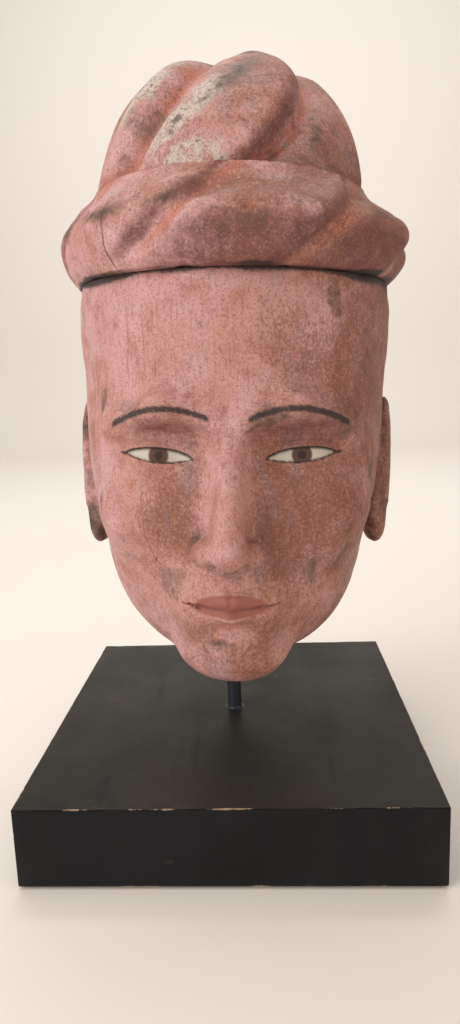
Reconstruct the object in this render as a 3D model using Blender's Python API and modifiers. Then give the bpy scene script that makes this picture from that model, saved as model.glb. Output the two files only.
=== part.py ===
"""A carved and painted wooden head in a wound turban, on a steel rod over a black mitred plinth.

The head is joined from blocks, as large carved heads are: a front and a back half, hollowed and pegged
together, with the turban's dome and its twisted roll pegged on top and an ear let into each side. The rod
turns in a socket under the plinth's top, and the head lifts off the rod's upper end.

Metres, +Z up, the face looks along -Y. The origin is the middle of the plinth's underside.
"""

import math

import bmesh
import bpy
import numpy as np
from mathutils import Matrix, Vector

# ---------------------------------------------------------------- driving dimensions

GAP = 0.0003  # between pieces that touch
MITRE_GAP = 0.0002  # taken off each mitred face, along the board

PLINTH_SIDE = 0.250
PLINTH_HEIGHT = 0.050
BOARD = 0.012
FELT = 0.002
FELT_MARGIN = 0.003
PANEL = 0.005
CORNER_BLOCK = 0.020

ROD_RADIUS = 0.005
ROD_CLEARANCE = 0.0004
SOCKET_DEPTH = 0.022
SOCKET_WALL = 0.004
FLANGE_RADIUS = 0.028
FLANGE = 0.003

NECK_HEIGHT = 0.100  # the neck's sawn face above the table
ROD_IN_HEAD = 0.070
SLEEVE_WALL = 0.0021
NECK_PLUG_RADIUS = 0.026
NECK_PLUG_LENGTH = 0.058
HEAD_LEAN = math.radians(1.5)  # the head leans a little to its own left
FACE_MID_X = 0.003  # the rod goes in this far beside the face's middle

# Heights in the head's own frame, whose origin is on the neck's sawn face.
CHIN = 0.006
HAIRLINE = 0.249
DOME_TOP = 0.389
THIRD = (HAIRLINE - CHIN) / 3  # chin to nose, nose to brow, and brow to hairline
NOSE_BASE = CHIN + THIRD
BROW = CHIN + 2 * THIRD
EYE_LINE = BROW - THIRD / 4
MOUTH = NOSE_BASE - THIRD / 3

FACE_HALF_WIDTH = 0.102
EYE_SPACING = 2 * FACE_HALF_WIDTH / 5  # the face is five eyes wide
PARTING_Y = -0.012  # the joint between the head's halves, just in front of the ears

TURBAN_X = -0.002  # the turban sits a little to one side of the face's middle
ROLL_MIDDLE = 0.269  # the height where the roll is widest
DOME_RADII = (0.086, 0.093)

PEG_RADIUS = 0.004
PEG_LENGTH = 0.036

# ---------------------------------------------------------------- scene, materials and helpers

for old in list(bpy.data.objects):
    bpy.data.objects.remove(old)


def new_collection(name):
    collection = bpy.data.collections.new(name)
    bpy.context.scene.collection.children.link(collection)
    return collection


PARTS = new_collection("carved_head_on_stand")
CUTTERS = new_collection("cutters")
CUTTERS.hide_render = True


def finish(name, hex_colour, roughness, metallic=0.0):
    """A Principled material from an sRGB hex colour."""
    def linear(channel):
        value = channel / 255
        return value / 12.92 if value <= 0.04045 else ((value + 0.055) / 1.055) ** 2.4

    material = bpy.data.materials.new(name)
    material.use_nodes = True
    shader = material.node_tree.nodes["Principled BSDF"]
    red, green, blue = (linear(channel) for channel in bytes.fromhex(hex_colour))
    shader.inputs["Base Color"].default_value = (red, green, blue, 1.0)
    shader.inputs["Roughness"].default_value = roughness
    shader.inputs["Metallic"].default_value = metallic
    return material


PINK_PAINT = finish("painted_carved_wood", "B98A7C", 0.75)
BARE_WOOD = finish("bare_wood", "B98F63", 0.7)
BLACK_BOARD = finish("black_painted_board", "2C2A2B", 0.5)
BLACK_STEEL = finish("black_painted_steel", "23252C", 0.35, 0.6)
BRIGHT_STEEL = finish("bright_steel", "A9A9A6", 0.35, 1.0)
FELT_CLOTH = finish("black_felt", "191919", 0.95)


def place(name, mesh, collection, parent=None):
    placed = bpy.data.objects.new(name, mesh)
    placed.parent = parent
    collection.objects.link(placed)
    return placed


def add_part(name, mesh, material, parent=None):
    mesh.materials.append(material)
    return place(name, mesh, PARTS, parent)


def add_cutter(name, mesh, parent=None):
    tool = place(name, mesh, CUTTERS, parent)
    tool.hide_render = True
    tool.display_type = "WIRE"
    return tool


def cut(piece, tool):
    modifier = piece.modifiers.new("cut_" + tool.name, "BOOLEAN")
    modifier.operation = "DIFFERENCE"
    modifier.solver = "EXACT"
    modifier.object = tool


def to_mesh(shape, name):
    mesh = bpy.data.meshes.new(name)
    shape.to_mesh(mesh)
    shape.free()
    return mesh


def box(name, low, high):
    shape = bmesh.new()
    bmesh.ops.create_cube(shape, size=1.0)
    size = Vector(high) - Vector(low)
    bmesh.ops.scale(shape, vec=size, verts=shape.verts)
    bmesh.ops.translate(shape, vec=Vector(low) + size / 2, verts=shape.verts)
    return to_mesh(shape, name)


def cylinder(name, radius, start, end, sides=12):
    shape = bmesh.new()
    axis = Vector(end) - Vector(start)
    bmesh.ops.create_cone(
        shape, cap_ends=True, segments=sides, radius1=radius, radius2=radius, depth=axis.length
    )
    turn = axis.to_track_quat("Z", "Y").to_matrix().to_4x4()
    middle = Matrix.Translation(Vector(start) + axis / 2)
    bmesh.ops.transform(shape, matrix=middle @ turn, verts=shape.verts)
    mesh = to_mesh(shape, name)
    mesh.shade_smooth()
    mesh.set_sharp_from_angle(angle=math.radians(40))
    return mesh


def egg_ball(name, centre, radii, segments=24, rings=14):
    shape = bmesh.new()
    bmesh.ops.create_uvsphere(shape, u_segments=segments, v_segments=rings, radius=1.0)
    bmesh.ops.scale(shape, vec=radii, verts=shape.verts)
    bmesh.ops.translate(shape, vec=centre, verts=shape.verts)
    return to_mesh(shape, name)


def outline(name, profile, ring=False):
    """The (radius, height) points of a turned piece, down its outer side. A ring's outline is closed."""
    count = len(profile)
    edges = [(i, (i + 1) % count) for i in range(count if ring else count - 1)]
    mesh = bpy.data.meshes.new(name)
    mesh.from_pydata([(radius, 0, height) for radius, height in profile], edges, [])
    return mesh


def turn_on_lathe(piece, sides):
    screw = piece.modifiers.new("turn", "SCREW")
    screw.steps = screw.render_steps = sides
    screw.use_merge_vertices = True
    screw.merge_threshold = 0.00005
    screw.use_smooth_shade = True


def saw_off(shape, point, normal):
    """Cuts away what lies on the normal's side of a plane, and closes the flat face."""
    everything = shape.verts[:] + shape.edges[:] + shape.faces[:]
    bmesh.ops.bisect_plane(
        shape, geom=everything, dist=1e-6, plane_co=point, plane_no=normal, clear_outer=True
    )
    rim = [edge for edge in shape.edges if edge.is_boundary]
    bmesh.ops.holes_fill(shape, edges=rim, sides=0)


def peg(name, start, end, pieces, parent, radius=PEG_RADIUS):
    """A round wooden peg across a joint, and its hole in each piece."""
    along = (Vector(end) - Vector(start)).normalized() * GAP
    add_part(name, cylinder(name, radius, start, end), BARE_WOOD, parent)
    hole = cylinder(name + "_hole", radius + GAP, Vector(start) - along, Vector(end) + along)
    tool = add_cutter(name + "_hole", hole, parent)
    for piece in pieces:
        cut(piece, tool)


SCREW_RADIUS = 0.0018
SCREW_HEAD_RADIUS = 0.0038
SCREW_HEAD = 0.0025


def wood_screw(name, x, y, underside, length, pieces):
    """A countersunk screw driven upwards, with its head at the height underside, and its hole."""
    def side(more, below):
        return [
            (0, underside + length + more),
            (SCREW_RADIUS + more, underside + length + more),
            (SCREW_RADIUS + more, underside + SCREW_HEAD),
            (SCREW_HEAD_RADIUS + more, underside),
            (SCREW_HEAD_RADIUS + more, underside - below),
            (0, underside - below),
        ]

    screw = add_part(name, outline(name, side(0, 0.0002)), BRIGHT_STEEL)
    tool = add_cutter(name + "_hole", outline(name + "_hole", side(GAP, 0.003)))
    for turned in (screw, tool):
        turned.location = (x, y, 0)
        turn_on_lathe(turned, 12)
    for piece in pieces:
        cut(piece, tool)


# ---------------------------------------------------------------- plinth

HALF = PLINTH_SIDE / 2
PLINTH_TOP = FELT + PLINTH_HEIGHT
UNDER_TOP = PLINTH_TOP - BOARD
INSIDE = HALF - BOARD - GAP


def side_board(name, turn):
    """Its outer face is at -Y before the turn. Its ends and its top are mitred."""
    shape = bmesh.new()
    bmesh.ops.create_cube(shape, size=1.0)
    for vertex in shape.verts:
        inset = BOARD if vertex.co.y > 0 else 0
        reach = HALF - MITRE_GAP - inset
        top = PLINTH_TOP - MITRE_GAP - inset
        vertex.co.x = math.copysign(reach, vertex.co.x)
        vertex.co.y = inset - HALF
        vertex.co.z = top if vertex.co.z > 0 else FELT
    bmesh.ops.rotate(shape, matrix=Matrix.Rotation(turn, 3, "Z"), verts=shape.verts)
    add_part(name, to_mesh(shape, name), BLACK_BOARD)


for name, degrees in {"front": 0, "right": 90, "back": 180, "left": 270}.items():
    side_board(f"plinth_{name}_board", math.radians(degrees))

shape = bmesh.new()
bmesh.ops.create_cube(shape, size=1.0)
for corner in shape.verts:
    upper = corner.co.z > 0
    reach = HALF - MITRE_GAP - (0 if upper else BOARD)
    corner.co.x = math.copysign(reach, corner.co.x)
    corner.co.y = math.copysign(reach, corner.co.y)
    corner.co.z = PLINTH_TOP if upper else UNDER_TOP
plinth_top = add_part("plinth_top_board", to_mesh(shape, "plinth_top_board"), BLACK_BOARD)

FELT_HALF = HALF - FELT_MARGIN
felt = box("felt_sheet", (-FELT_HALF, -FELT_HALF, 0), (FELT_HALF, FELT_HALF, FELT - GAP))
add_part("felt_sheet", felt, FELT_CLOTH)

panel = box("bottom_panel", (-INSIDE, -INSIDE, FELT), (INSIDE, INSIDE, FELT + PANEL))
bottom_panel = add_part("bottom_panel", panel, BARE_WOOD)

block_middle = INSIDE - CORNER_BLOCK / 2
for number, (x_side, y_side) in enumerate([(-1, -1), (1, -1), (1, 1), (-1, 1)], 1):
    x, y = x_side * block_middle, y_side * block_middle
    half = CORNER_BLOCK / 2
    low = (x - half, y - half, FELT + PANEL + GAP)
    high = (x + half, y + half, UNDER_TOP - GAP)
    block = add_part(f"corner_block_{number}", box("corner_block", low, high), BARE_WOOD)
    wood_screw(f"panel_screw_{number}", x, y, FELT + GAP, 0.022, [bottom_panel, block])

# ---------------------------------------------------------------- rod and its socket

SOCKET_BORE = ROD_RADIUS + ROD_CLEARANCE
SOCKET_OUTER = SOCKET_BORE + SOCKET_WALL
FLANGE_TOP = UNDER_TOP - GAP
FLANGE_UNDERSIDE = FLANGE_TOP - FLANGE
SOCKET_FLOOR = UNDER_TOP - SOCKET_DEPTH
SOCKET_BOTTOM = SOCKET_FLOOR - SOCKET_WALL

socket_side = [
    (0, SOCKET_FLOOR), (SOCKET_BORE, SOCKET_FLOOR), (SOCKET_BORE, FLANGE_TOP),
    (FLANGE_RADIUS, FLANGE_TOP), (FLANGE_RADIUS, FLANGE_UNDERSIDE), (SOCKET_OUTER, FLANGE_UNDERSIDE),
    (SOCKET_OUTER, SOCKET_BOTTOM), (0, SOCKET_BOTTOM),
]
rod_socket = add_part("rod_socket", outline("rod_socket", socket_side), BRIGHT_STEEL)
turn_on_lathe(rod_socket, 24)

for number in range(1, 5):
    angle = math.radians(90 * number - 45)
    x, y = 0.020 * math.cos(angle), 0.020 * math.sin(angle)
    wood_screw(f"flange_screw_{number}", x, y, FLANGE_UNDERSIDE + GAP, 0.010, [rod_socket, plinth_top])

rod_hole = cylinder("rod_hole", SOCKET_BORE, (0, 0, UNDER_TOP - 0.01), (0, 0, PLINTH_TOP + 0.01), 24)
cut(plinth_top, add_cutter("rod_hole", rod_hole))

ROD_BOTTOM = SOCKET_FLOOR + GAP
ROD_TOP = NECK_HEIGHT + ROD_IN_HEAD
ROD_CHAMFER = 0.0008
rod_side = [
    (0, ROD_TOP), (ROD_RADIUS - ROD_CHAMFER, ROD_TOP), (ROD_RADIUS, ROD_TOP - ROD_CHAMFER),
    (ROD_RADIUS, ROD_BOTTOM), (0, ROD_BOTTOM),
]
turn_on_lathe(add_part("steel_rod", outline("steel_rod", rod_side), BLACK_STEEL), 24)

# ---------------------------------------------------------------- fields that the carved forms follow


def blend(first, second, softness):
    """The union of two fields, with a fillet about as wide as softness."""
    share = np.clip(0.5 + 0.5 * (second - first) / softness, 0.0, 1.0)
    return second * (1 - share) + first * share - softness * share * (1 - share)


def egg(points, centre, radii):
    """An ellipsoid's field: about the distance in metres, and negative inside."""
    offset = points - np.array(centre)
    near = np.linalg.norm(offset / np.array(radii), axis=1)
    slope = np.linalg.norm(offset / np.array(radii) ** 2, axis=1)
    return near * (near - 1.0) / np.maximum(slope, 1e-9)


def bar(points, start, end, start_radius, end_radius):
    """A round bar that tapers from start to end."""
    start, end = np.array(start), np.array(end)
    along = np.clip((points - start) @ (end - start) / ((end - start) @ (end - start)), 0, 1)
    nearest = start + along[:, None] * (end - start)
    radius = start_radius + along * (end_radius - start_radius)
    return np.linalg.norm(points - nearest, axis=1) - radius


def head_field(points):
    """The bare head, the same on both sides: skull, cheeks, jaw, neck, brow, nose, lips and chin."""
    side = np.abs(points * (1, 0, 0)) + points * (0, 1, 1)
    skull = egg(side, (0, 0.006, 0.225), (FACE_HALF_WIDTH, 0.106, 0.130))
    cheeks = egg(side, (0, -0.008, 0.135), (0.095, 0.088, 0.095))
    jaw = egg(side, (0, -0.018, 0.066), (0.077, 0.068, 0.061))
    form = blend(blend(skull, cheeks, 0.030), jaw, 0.030)
    form = blend(form, egg(side, (0, -0.002, 0.010), (0.040, 0.044, 0.090)), 0.010)
    form = blend(form, egg(side, (0, -0.069, CHIN + 0.019), (0.027, 0.020, 0.018)), 0.018)
    brow = bar(side, (0.008, -0.091, BROW), (0.066, -0.068, BROW - 0.002), 0.007, 0.005)
    form = blend(form, brow, 0.014)
    form = blend(form, egg(side, (0, -0.084, MOUTH), (0.030, 0.013, 0.022)), 0.014)
    form = blend(form, egg(side, (0, -0.094, MOUTH + 0.004), (0.025, 0.006, 0.005)), 0.004)
    form = blend(form, egg(side, (0, -0.093, MOUTH - 0.006), (0.020, 0.006, 0.006)), 0.004)
    nose = bar(side, (0, -0.093, EYE_LINE + 0.008), (0, -0.108, NOSE_BASE + 0.009), 0.006, 0.0095)
    form = blend(form, nose, 0.010)
    form = blend(form, egg(side, (0.0125, -0.099, NOSE_BASE + 0.007), (0.008, 0.010, 0.008)), 0.005)
    socket = egg(side, (EYE_SPACING, -0.109, EYE_LINE - 0.001), (0.022, 0.016, 0.014))
    form = -blend(-form, socket, 0.012)
    lids = egg(side, (EYE_SPACING, -0.074, EYE_LINE), (EYE_SPACING / 2, 0.019, 0.013))
    return blend(form, lids, 0.004)


def carve(shape, centre, field, reach=0.3, step=0.004):
    """Moves each vertex along its ray from centre, to where the field turns positive for the last time."""
    centre = np.array(centre)
    rays = np.array([vertex.co for vertex in shape.verts]) - centre
    rays /= np.linalg.norm(rays, axis=1)[:, None]
    near = np.zeros(len(rays))
    for distance in np.arange(step, reach, step):
        near = np.where(field(centre + rays * distance) < 0, distance, near)
    far = near + step
    for _ in range(16):
        middle = (near + far) / 2
        outside = field(centre + rays * middle[:, None]) > 0
        near, far = np.where(outside, near, middle), np.where(outside, middle, far)
    for vertex, point in zip(shape.verts, centre + rays * near[:, None]):
        vertex.co = point


def carved_ball(centre, field, segments, rings, frontward=0.0):
    """A sphere carved to a field. frontward draws its meridians together at the front."""
    shape = bmesh.new()
    bmesh.ops.create_uvsphere(shape, u_segments=segments, v_segments=rings, radius=0.05)
    for vertex in shape.verts:
        turn = math.atan2(vertex.co.x, -vertex.co.y)
        turn -= frontward * math.sin(turn)
        flat = math.hypot(vertex.co.x, vertex.co.y)
        vertex.co.x = flat * math.sin(turn)
        vertex.co.y = -flat * math.cos(turn)
    bmesh.ops.translate(shape, vec=centre, verts=shape.verts)
    carve(shape, centre, field)
    return shape


# ---------------------------------------------------------------- head: two hollowed halves

# The head's pieces hang from an empty on the rod's axis. A second empty in it carries the lean.
on_rod = place("head_on_rod", None, PARTS)
on_rod.location = (0, 0, NECK_HEIGHT)
leaning = place("head_leaning", None, PARTS, on_rod)
leaning.location = (FACE_MID_X, 0, 0)
leaning.rotation_euler = (0, HEAD_LEAN, 0)
level_up = Matrix.Rotation(-HEAD_LEAN, 3, "Y") @ Vector((0, 0, 1))


def head_half(name, facing, segments, rings, frontward):
    """facing is -1 for the face and 1 for the back."""
    shape = carved_ball((0, -0.004, 0.140), head_field, segments, rings, frontward)
    saw_off(shape, (0, PARTING_Y + facing * GAP / 2, 0), (0, -facing, 0))
    saw_off(shape, (0, 0, HAIRLINE - GAP), (0, 0, 1))
    saw_off(shape, (0, 0, 0), -level_up)
    mesh = to_mesh(shape, name)
    mesh.shade_smooth()
    mesh.set_sharp_from_angle(angle=math.radians(50))
    return add_part(name, mesh, PINK_PAINT, leaning)


face_block = head_half("face_block", -1, 60, 48, 0.60)
back_block = head_half("back_block", 1, 32, 22, 0.0)

hollow = add_cutter("head_hollow", egg_ball("head_hollow", (0, 0, 0.148), (0.064, 0.066, 0.084)), leaning)
neck_hole = cylinder("neck_hole", NECK_PLUG_RADIUS + GAP, (0, 0, -0.01), (0, 0, 0.080), 24)
neck_channel = add_cutter("neck_hole", neck_hole, on_rod)
for half in (face_block, back_block):
    cut(half, hollow)
    cut(half, neck_channel)

for number, (x, z) in enumerate([(-0.077, 0.200), (0.077, 0.200), (-0.070, 0.095), (0.070, 0.095)], 1):
    start, end = (x, PARTING_Y - PEG_LENGTH / 2, z), (x, PARTING_Y + PEG_LENGTH / 2, z)
    peg(f"head_peg_{number}", start, end, [face_block, back_block], leaning)

# ---------------------------------------------------------------- neck plug and steel sleeve

SLEEVE_BORE = ROD_RADIUS + ROD_CLEARANCE
SLEEVE_OUTER = SLEEVE_BORE + SLEEVE_WALL
SLEEVE_ROOF = ROD_IN_HEAD + GAP
sleeve_side = [
    (0, SLEEVE_ROOF + SLEEVE_WALL), (SLEEVE_OUTER, SLEEVE_ROOF + SLEEVE_WALL), (SLEEVE_OUTER, 0),
    (SLEEVE_BORE, 0), (SLEEVE_BORE, SLEEVE_ROOF), (0, SLEEVE_ROOF),
]
neck_sleeve = add_part("neck_sleeve", outline("neck_sleeve", sleeve_side), BRIGHT_STEEL, on_rod)
turn_on_lathe(neck_sleeve, 24)

plug_side = [
    (NECK_PLUG_RADIUS, NECK_PLUG_LENGTH), (NECK_PLUG_RADIUS, 0),
    (SLEEVE_OUTER + GAP, 0), (SLEEVE_OUTER + GAP, NECK_PLUG_LENGTH),
]
neck_plug = add_part("neck_plug", outline("neck_plug", plug_side, ring=True), BARE_WOOD, on_rod)
turn_on_lathe(neck_plug, 24)

# ---------------------------------------------------------------- ears

EAR_MIDDLE = (0.095, 0.016, (BROW + NOSE_BASE) / 2)
EAR_RADII = (0.012, 0.019, (BROW - NOSE_BASE) / 2 + 0.010)
EAR_PEG_REACH = (0.072, 0.097)


def ear_field(points, swell=0.0):
    """An upright flattened ear with a shallow bowl in its outer side."""
    whole = egg(points, EAR_MIDDLE, np.array(EAR_RADII) + swell)
    bowl = egg(points, (0.112, 0.013, EAR_MIDDLE[2] + 0.008), (0.010, 0.009, 0.022))
    return -blend(-whole, bowl, 0.004)


for side_name, x_side in {"right_ear": -1, "left_ear": 1}.items():
    for name, swell in ((side_name, 0.0), (side_name + "_seat", GAP)):
        shape = carved_ball(EAR_MIDDLE, lambda points: ear_field(points, swell), 16, 14)
        if x_side < 0:
            bmesh.ops.scale(shape, vec=(-1, 1, 1), verts=shape.verts)
            bmesh.ops.reverse_faces(shape, faces=shape.faces)
        mesh = to_mesh(shape, name)
        mesh.shade_smooth()
        if swell:
            cut(back_block, add_cutter(name, mesh, leaning))
        else:
            ear = add_part(name, mesh, PINK_PAINT, leaning)
    inner, outer = (x_side * reach for reach in EAR_PEG_REACH)
    start, end = (inner, EAR_MIDDLE[1], EAR_MIDDLE[2]), (outer, EAR_MIDDLE[1], EAR_MIDDLE[2])
    peg(side_name + "_peg", start, end, [back_block, ear], leaning, PEG_RADIUS - 0.001)

# ---------------------------------------------------------------- turban: the folded dome

DOME_SHOULDER = 0.287  # the dome's side is upright below this
DOME_SQUARENESS = 2.05
FOLD_FOOT = 0.297
FOLD_DEPTH = 0.007
FOLD_WIDTH = 0.010
FOLD_TWIST = math.radians(38)
FOLD_STARTS = [math.radians(degrees) for degrees in (-142, -93, -43, 12, 76, 124, 170)]
FOLD_POLE = (0.003, 0.014)  # where the folds meet, behind the top's middle


def dome_radius_share(points, swell=0.0):
    across = points[:, 0] - TURBAN_X
    flat = np.hypot(across / (DOME_RADII[0] + swell), points[:, 1] / (DOME_RADII[1] + swell))
    rise = np.maximum(points[:, 2] - DOME_SHOULDER, 0) / (DOME_TOP - DOME_SHOULDER + swell)
    return (flat**DOME_SQUARENESS + rise**DOME_SQUARENESS) ** (1 / DOME_SQUARENESS)


def fold_depth(points):
    """The folds swirl up from the roll towards the pole, and fade out at both ends."""
    rise = np.clip((points[:, 2] - FOLD_FOOT) / (DOME_TOP - FOLD_FOOT), 0, 1)
    across = points[:, 0] - TURBAN_X - FOLD_POLE[0] * rise
    back = points[:, 1] - FOLD_POLE[1] * rise
    turn = np.arctan2(across, -back) - FOLD_TWIST * rise
    nearest = np.min([np.abs(np.angle(np.exp(1j * (turn - start)))) for start in FOLD_STARTS], axis=0)
    distance = nearest * np.hypot(across, back)
    fade = np.clip(rise / 0.08, 0, 1) * np.clip((1.03 - rise) / 0.3, 0, 1)
    return FOLD_DEPTH * fade * np.exp(-((distance / FOLD_WIDTH) ** 2))


def dome_field(points):
    return (dome_radius_share(points) - 1) * DOME_RADII[0] + fold_depth(points)


def dome_seat_field(points):
    return (dome_radius_share(points, GAP) - 1) * DOME_RADII[0]


DOME_MIDDLE = (TURBAN_X, 0, 0.290)
shape = carved_ball(DOME_MIDDLE, dome_field, 54, 24)
saw_off(shape, (0, 0, HAIRLINE), (0, 0, -1))
mesh = to_mesh(shape, "turban_dome")
mesh.shade_smooth()
mesh.set_sharp_from_angle(angle=math.radians(50))
turban_dome = add_part("turban_dome", mesh, PINK_PAINT, leaning)
dome_hollow = egg_ball("dome_hollow", (0, 0, HAIRLINE - 0.005), (0.056, 0.060, 0.105))
cut(turban_dome, add_cutter("dome_hollow", dome_hollow, leaning))

for number, (x, y) in enumerate([(-0.050, -0.052), (0.050, -0.052), (0.050, 0.052), (-0.050, 0.052)], 1):
    start, end = (x, y, HAIRLINE - PEG_LENGTH / 2), (x, y, HAIRLINE + PEG_LENGTH / 2)
    halves = [face_block] if y < PARTING_Y else [back_block]
    peg(f"dome_peg_{number}", start, end, [turban_dome] + halves, leaning)

# ---------------------------------------------------------------- turban: the twisted roll

ROLL_OUT = 0.026  # how far the roll stands out from the dome
ROLL_LEAN = 0.003  # how much more it does so on the head's left, and less on its right
ROLL_RISE = 0.029
ROLL_DROP = 0.023
ROLL_SLOPE = 1.4  # above 1, the roll's upper half slopes up to the dome where a round one would be level
TWIST_DEPTH = 0.006
TWIST_WIDTH = math.radians(9)
TWIST_SLOPE = math.radians(19)  # how far round a valley runs from the roll's middle to its top
TWIST_VALLEYS = [math.radians(degrees) for degrees in (-128, -74, -19, 33, 76, 128, 182)]


def roll_radius(turn, around):
    """The share of the full section at an angle round the head, and at an angle round the section."""
    height = math.sin(around)
    slant = turn - TWIST_SLOPE * height
    nearest = min(abs(math.remainder(slant - valley, math.tau)) for valley in TWIST_VALLEYS)
    fade = min(max((height + 0.95) / 0.4, 0), 1)
    return 1 - fade * TWIST_DEPTH / ROLL_OUT * math.exp(-((nearest / TWIST_WIDTH) ** 2))


bpy.ops.mesh.primitive_torus_add(
    major_segments=64, minor_segments=16, major_radius=1.0, minor_radius=0.25, align="WORLD"
)
torus = bpy.context.object
roll_mesh = torus.data.copy()
bpy.data.objects.remove(torus)
roll_mesh.name = "turban_roll"
for vertex in roll_mesh.vertices:
    turn = math.atan2(vertex.co.x, -vertex.co.y)
    around = math.atan2(vertex.co.z, math.hypot(vertex.co.x, vertex.co.y) - 1.0)
    share = roll_radius(turn, around)
    slope = ROLL_SLOPE if around > 0 else 1
    reach = share * (ROLL_OUT + ROLL_LEAN * math.sin(turn))
    out = reach * math.copysign(abs(math.cos(around)) ** slope, math.cos(around))
    up = share * (ROLL_RISE if around > 0 else -ROLL_DROP) * abs(math.sin(around)) ** slope
    vertex.co.x = TURBAN_X + (DOME_RADII[0] + out) * math.sin(turn)
    vertex.co.y = -(DOME_RADII[1] + out) * math.cos(turn)
    vertex.co.z = ROLL_MIDDLE + up

shape = bmesh.new()
shape.from_mesh(roll_mesh)
saw_off(shape, (0, 0, HAIRLINE), (0, 0, -1))
shape.to_mesh(roll_mesh)
shape.free()
roll_mesh.shade_smooth()
turban_roll = add_part("turban_roll", roll_mesh, PINK_PAINT, leaning)

seat = carved_ball(DOME_MIDDLE, dome_seat_field, 54, 24)
saw_off(seat, (0, 0, HAIRLINE - 0.005), (0, 0, -1))
cut(turban_roll, add_cutter("dome_seat", to_mesh(seat, "dome_seat"), leaning))

for number, (x, y) in enumerate([(-0.091, 0.006), (0.091, 0.006), (0, 0.0985)], 1):
    start, end = (TURBAN_X + x, y, HAIRLINE - 0.014), (TURBAN_X + x, y, HAIRLINE + 0.010)
    peg(f"roll_peg_{number}", start, end, [turban_roll, back_block], leaning, PEG_RADIUS - 0.0015)
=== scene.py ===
"""The looks of a carved and painted wooden head on its stand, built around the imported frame.

The sections follow the object as it is put together: the camera and studio first, then the plinth from its
felt up, the rod, the head's halves and ears, and the turban. Lengths are metres, apart from the carver's
fields for the head and its turban, which are laid out in millimetres in the leaning head's own frame.
"""

import math

import bmesh
import bpy
import numpy as np
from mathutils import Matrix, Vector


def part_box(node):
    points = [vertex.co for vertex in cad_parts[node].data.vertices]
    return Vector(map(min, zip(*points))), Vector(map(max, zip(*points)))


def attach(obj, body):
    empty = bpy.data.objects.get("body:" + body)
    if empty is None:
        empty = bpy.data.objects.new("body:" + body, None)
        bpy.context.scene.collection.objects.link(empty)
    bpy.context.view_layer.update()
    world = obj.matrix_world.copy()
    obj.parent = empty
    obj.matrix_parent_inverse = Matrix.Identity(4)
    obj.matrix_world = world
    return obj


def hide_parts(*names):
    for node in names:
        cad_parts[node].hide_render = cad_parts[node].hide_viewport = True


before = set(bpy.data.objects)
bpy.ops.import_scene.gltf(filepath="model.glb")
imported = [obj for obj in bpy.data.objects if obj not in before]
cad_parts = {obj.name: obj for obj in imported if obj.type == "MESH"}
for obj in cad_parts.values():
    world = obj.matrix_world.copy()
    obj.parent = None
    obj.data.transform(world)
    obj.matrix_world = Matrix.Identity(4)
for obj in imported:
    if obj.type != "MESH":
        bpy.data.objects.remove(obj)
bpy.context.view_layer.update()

import openvdb
from mathutils import Matrix, Vector

# ------------------------------------------------------------------ camera and studio
# A phone held a little above the plinth and close to it, tipped down and slightly to the side.

CAMERA_PLACE = Vector((0.0247, -0.4729, 0.288))
CAMERA_TURN, CAMERA_TIP, CAMERA_ROLL = math.radians(-2.8), math.radians(10.6), math.radians(-2.1)

camera = bpy.data.objects.new("camera", bpy.data.cameras.new("camera"))
bpy.context.scene.collection.objects.link(camera)
camera.data.lens = 24
camera.data.sensor_width = 36
aim = Matrix.Rotation(-CAMERA_TURN, 4, "Z") @ Matrix.Rotation(math.pi / 2 - CAMERA_TIP, 4, "X")
camera.matrix_world = Matrix.Translation(CAMERA_PLACE) @ aim @ Matrix.Rotation(CAMERA_ROLL, 4, "Z")
bpy.context.scene.camera = camera


def srgb(hex_colour):
    """The linear RGBA of an sRGB hex colour."""
    channels = [byte / 255 for byte in bytes.fromhex(hex_colour)]
    return tuple(c / 12.92 if c <= 0.04045 else ((c + 0.055) / 1.055) ** 2.4 for c in channels) + (1.0,)


def add(tree, kind, sockets=None, **settings):
    """Adds a node with its settings. An input takes a value, an output, or a node for its first output."""
    made = tree.nodes.new(kind)
    for name, value in settings.items():
        setattr(made, name, value)
    for name, value in (sockets or {}).items():
        if isinstance(value, bpy.types.Node):
            value = value.outputs[0]
        if isinstance(value, bpy.types.NodeSocket):
            tree.links.new(value, made.inputs[name])
        else:
            made.inputs[name].default_value = value
    return made


def new_material(name):
    material = bpy.data.materials.new(name)
    material.use_nodes = True
    return material, material.node_tree, material.node_tree.nodes["Principled BSDF"]


FLOOR_REACH = 3.0
SWEEP_RADIUS = 0.5
sweep = [(0, -FLOOR_REACH, 0), (0, FLOOR_REACH - SWEEP_RADIUS, 0)]
for step in range(1, 13):
    bend = step / 12 * math.pi / 2
    back = FLOOR_REACH - SWEEP_RADIUS + SWEEP_RADIUS * math.sin(bend)
    sweep.append((0, back, SWEEP_RADIUS * (1 - math.cos(bend))))
sweep.append((0, FLOOR_REACH, FLOOR_REACH))
backdrop_mesh = bpy.data.meshes.new("paper_sweep")
corners = [(x, y, z) for _, y, z in sweep for x in (-FLOOR_REACH, FLOOR_REACH)]
strips = [(2 * i, 2 * i + 1, 2 * i + 3, 2 * i + 2) for i in range(len(sweep) - 1)]
backdrop_mesh.from_pydata(corners, [], strips)
backdrop_mesh.shade_smooth()
backdrop = bpy.data.objects.new("paper_sweep", backdrop_mesh)
bpy.context.scene.collection.objects.link(backdrop)
paper, tree, shader = new_material("matt_cream_paper")
shader.inputs["Base Color"].default_value = srgb("F1EBE3")
shader.inputs["Roughness"].default_value = 0.9
backdrop_mesh.materials.append(paper)

world = bpy.data.worlds.new("studio")
bpy.context.scene.world = world
bpy.context.scene.view_settings.view_transform = "Standard"
world.use_nodes = True
world.node_tree.nodes["Background"].inputs["Color"].default_value = srgb("FFF8F0")
world.node_tree.nodes["Background"].inputs["Strength"].default_value = 0.36


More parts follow.
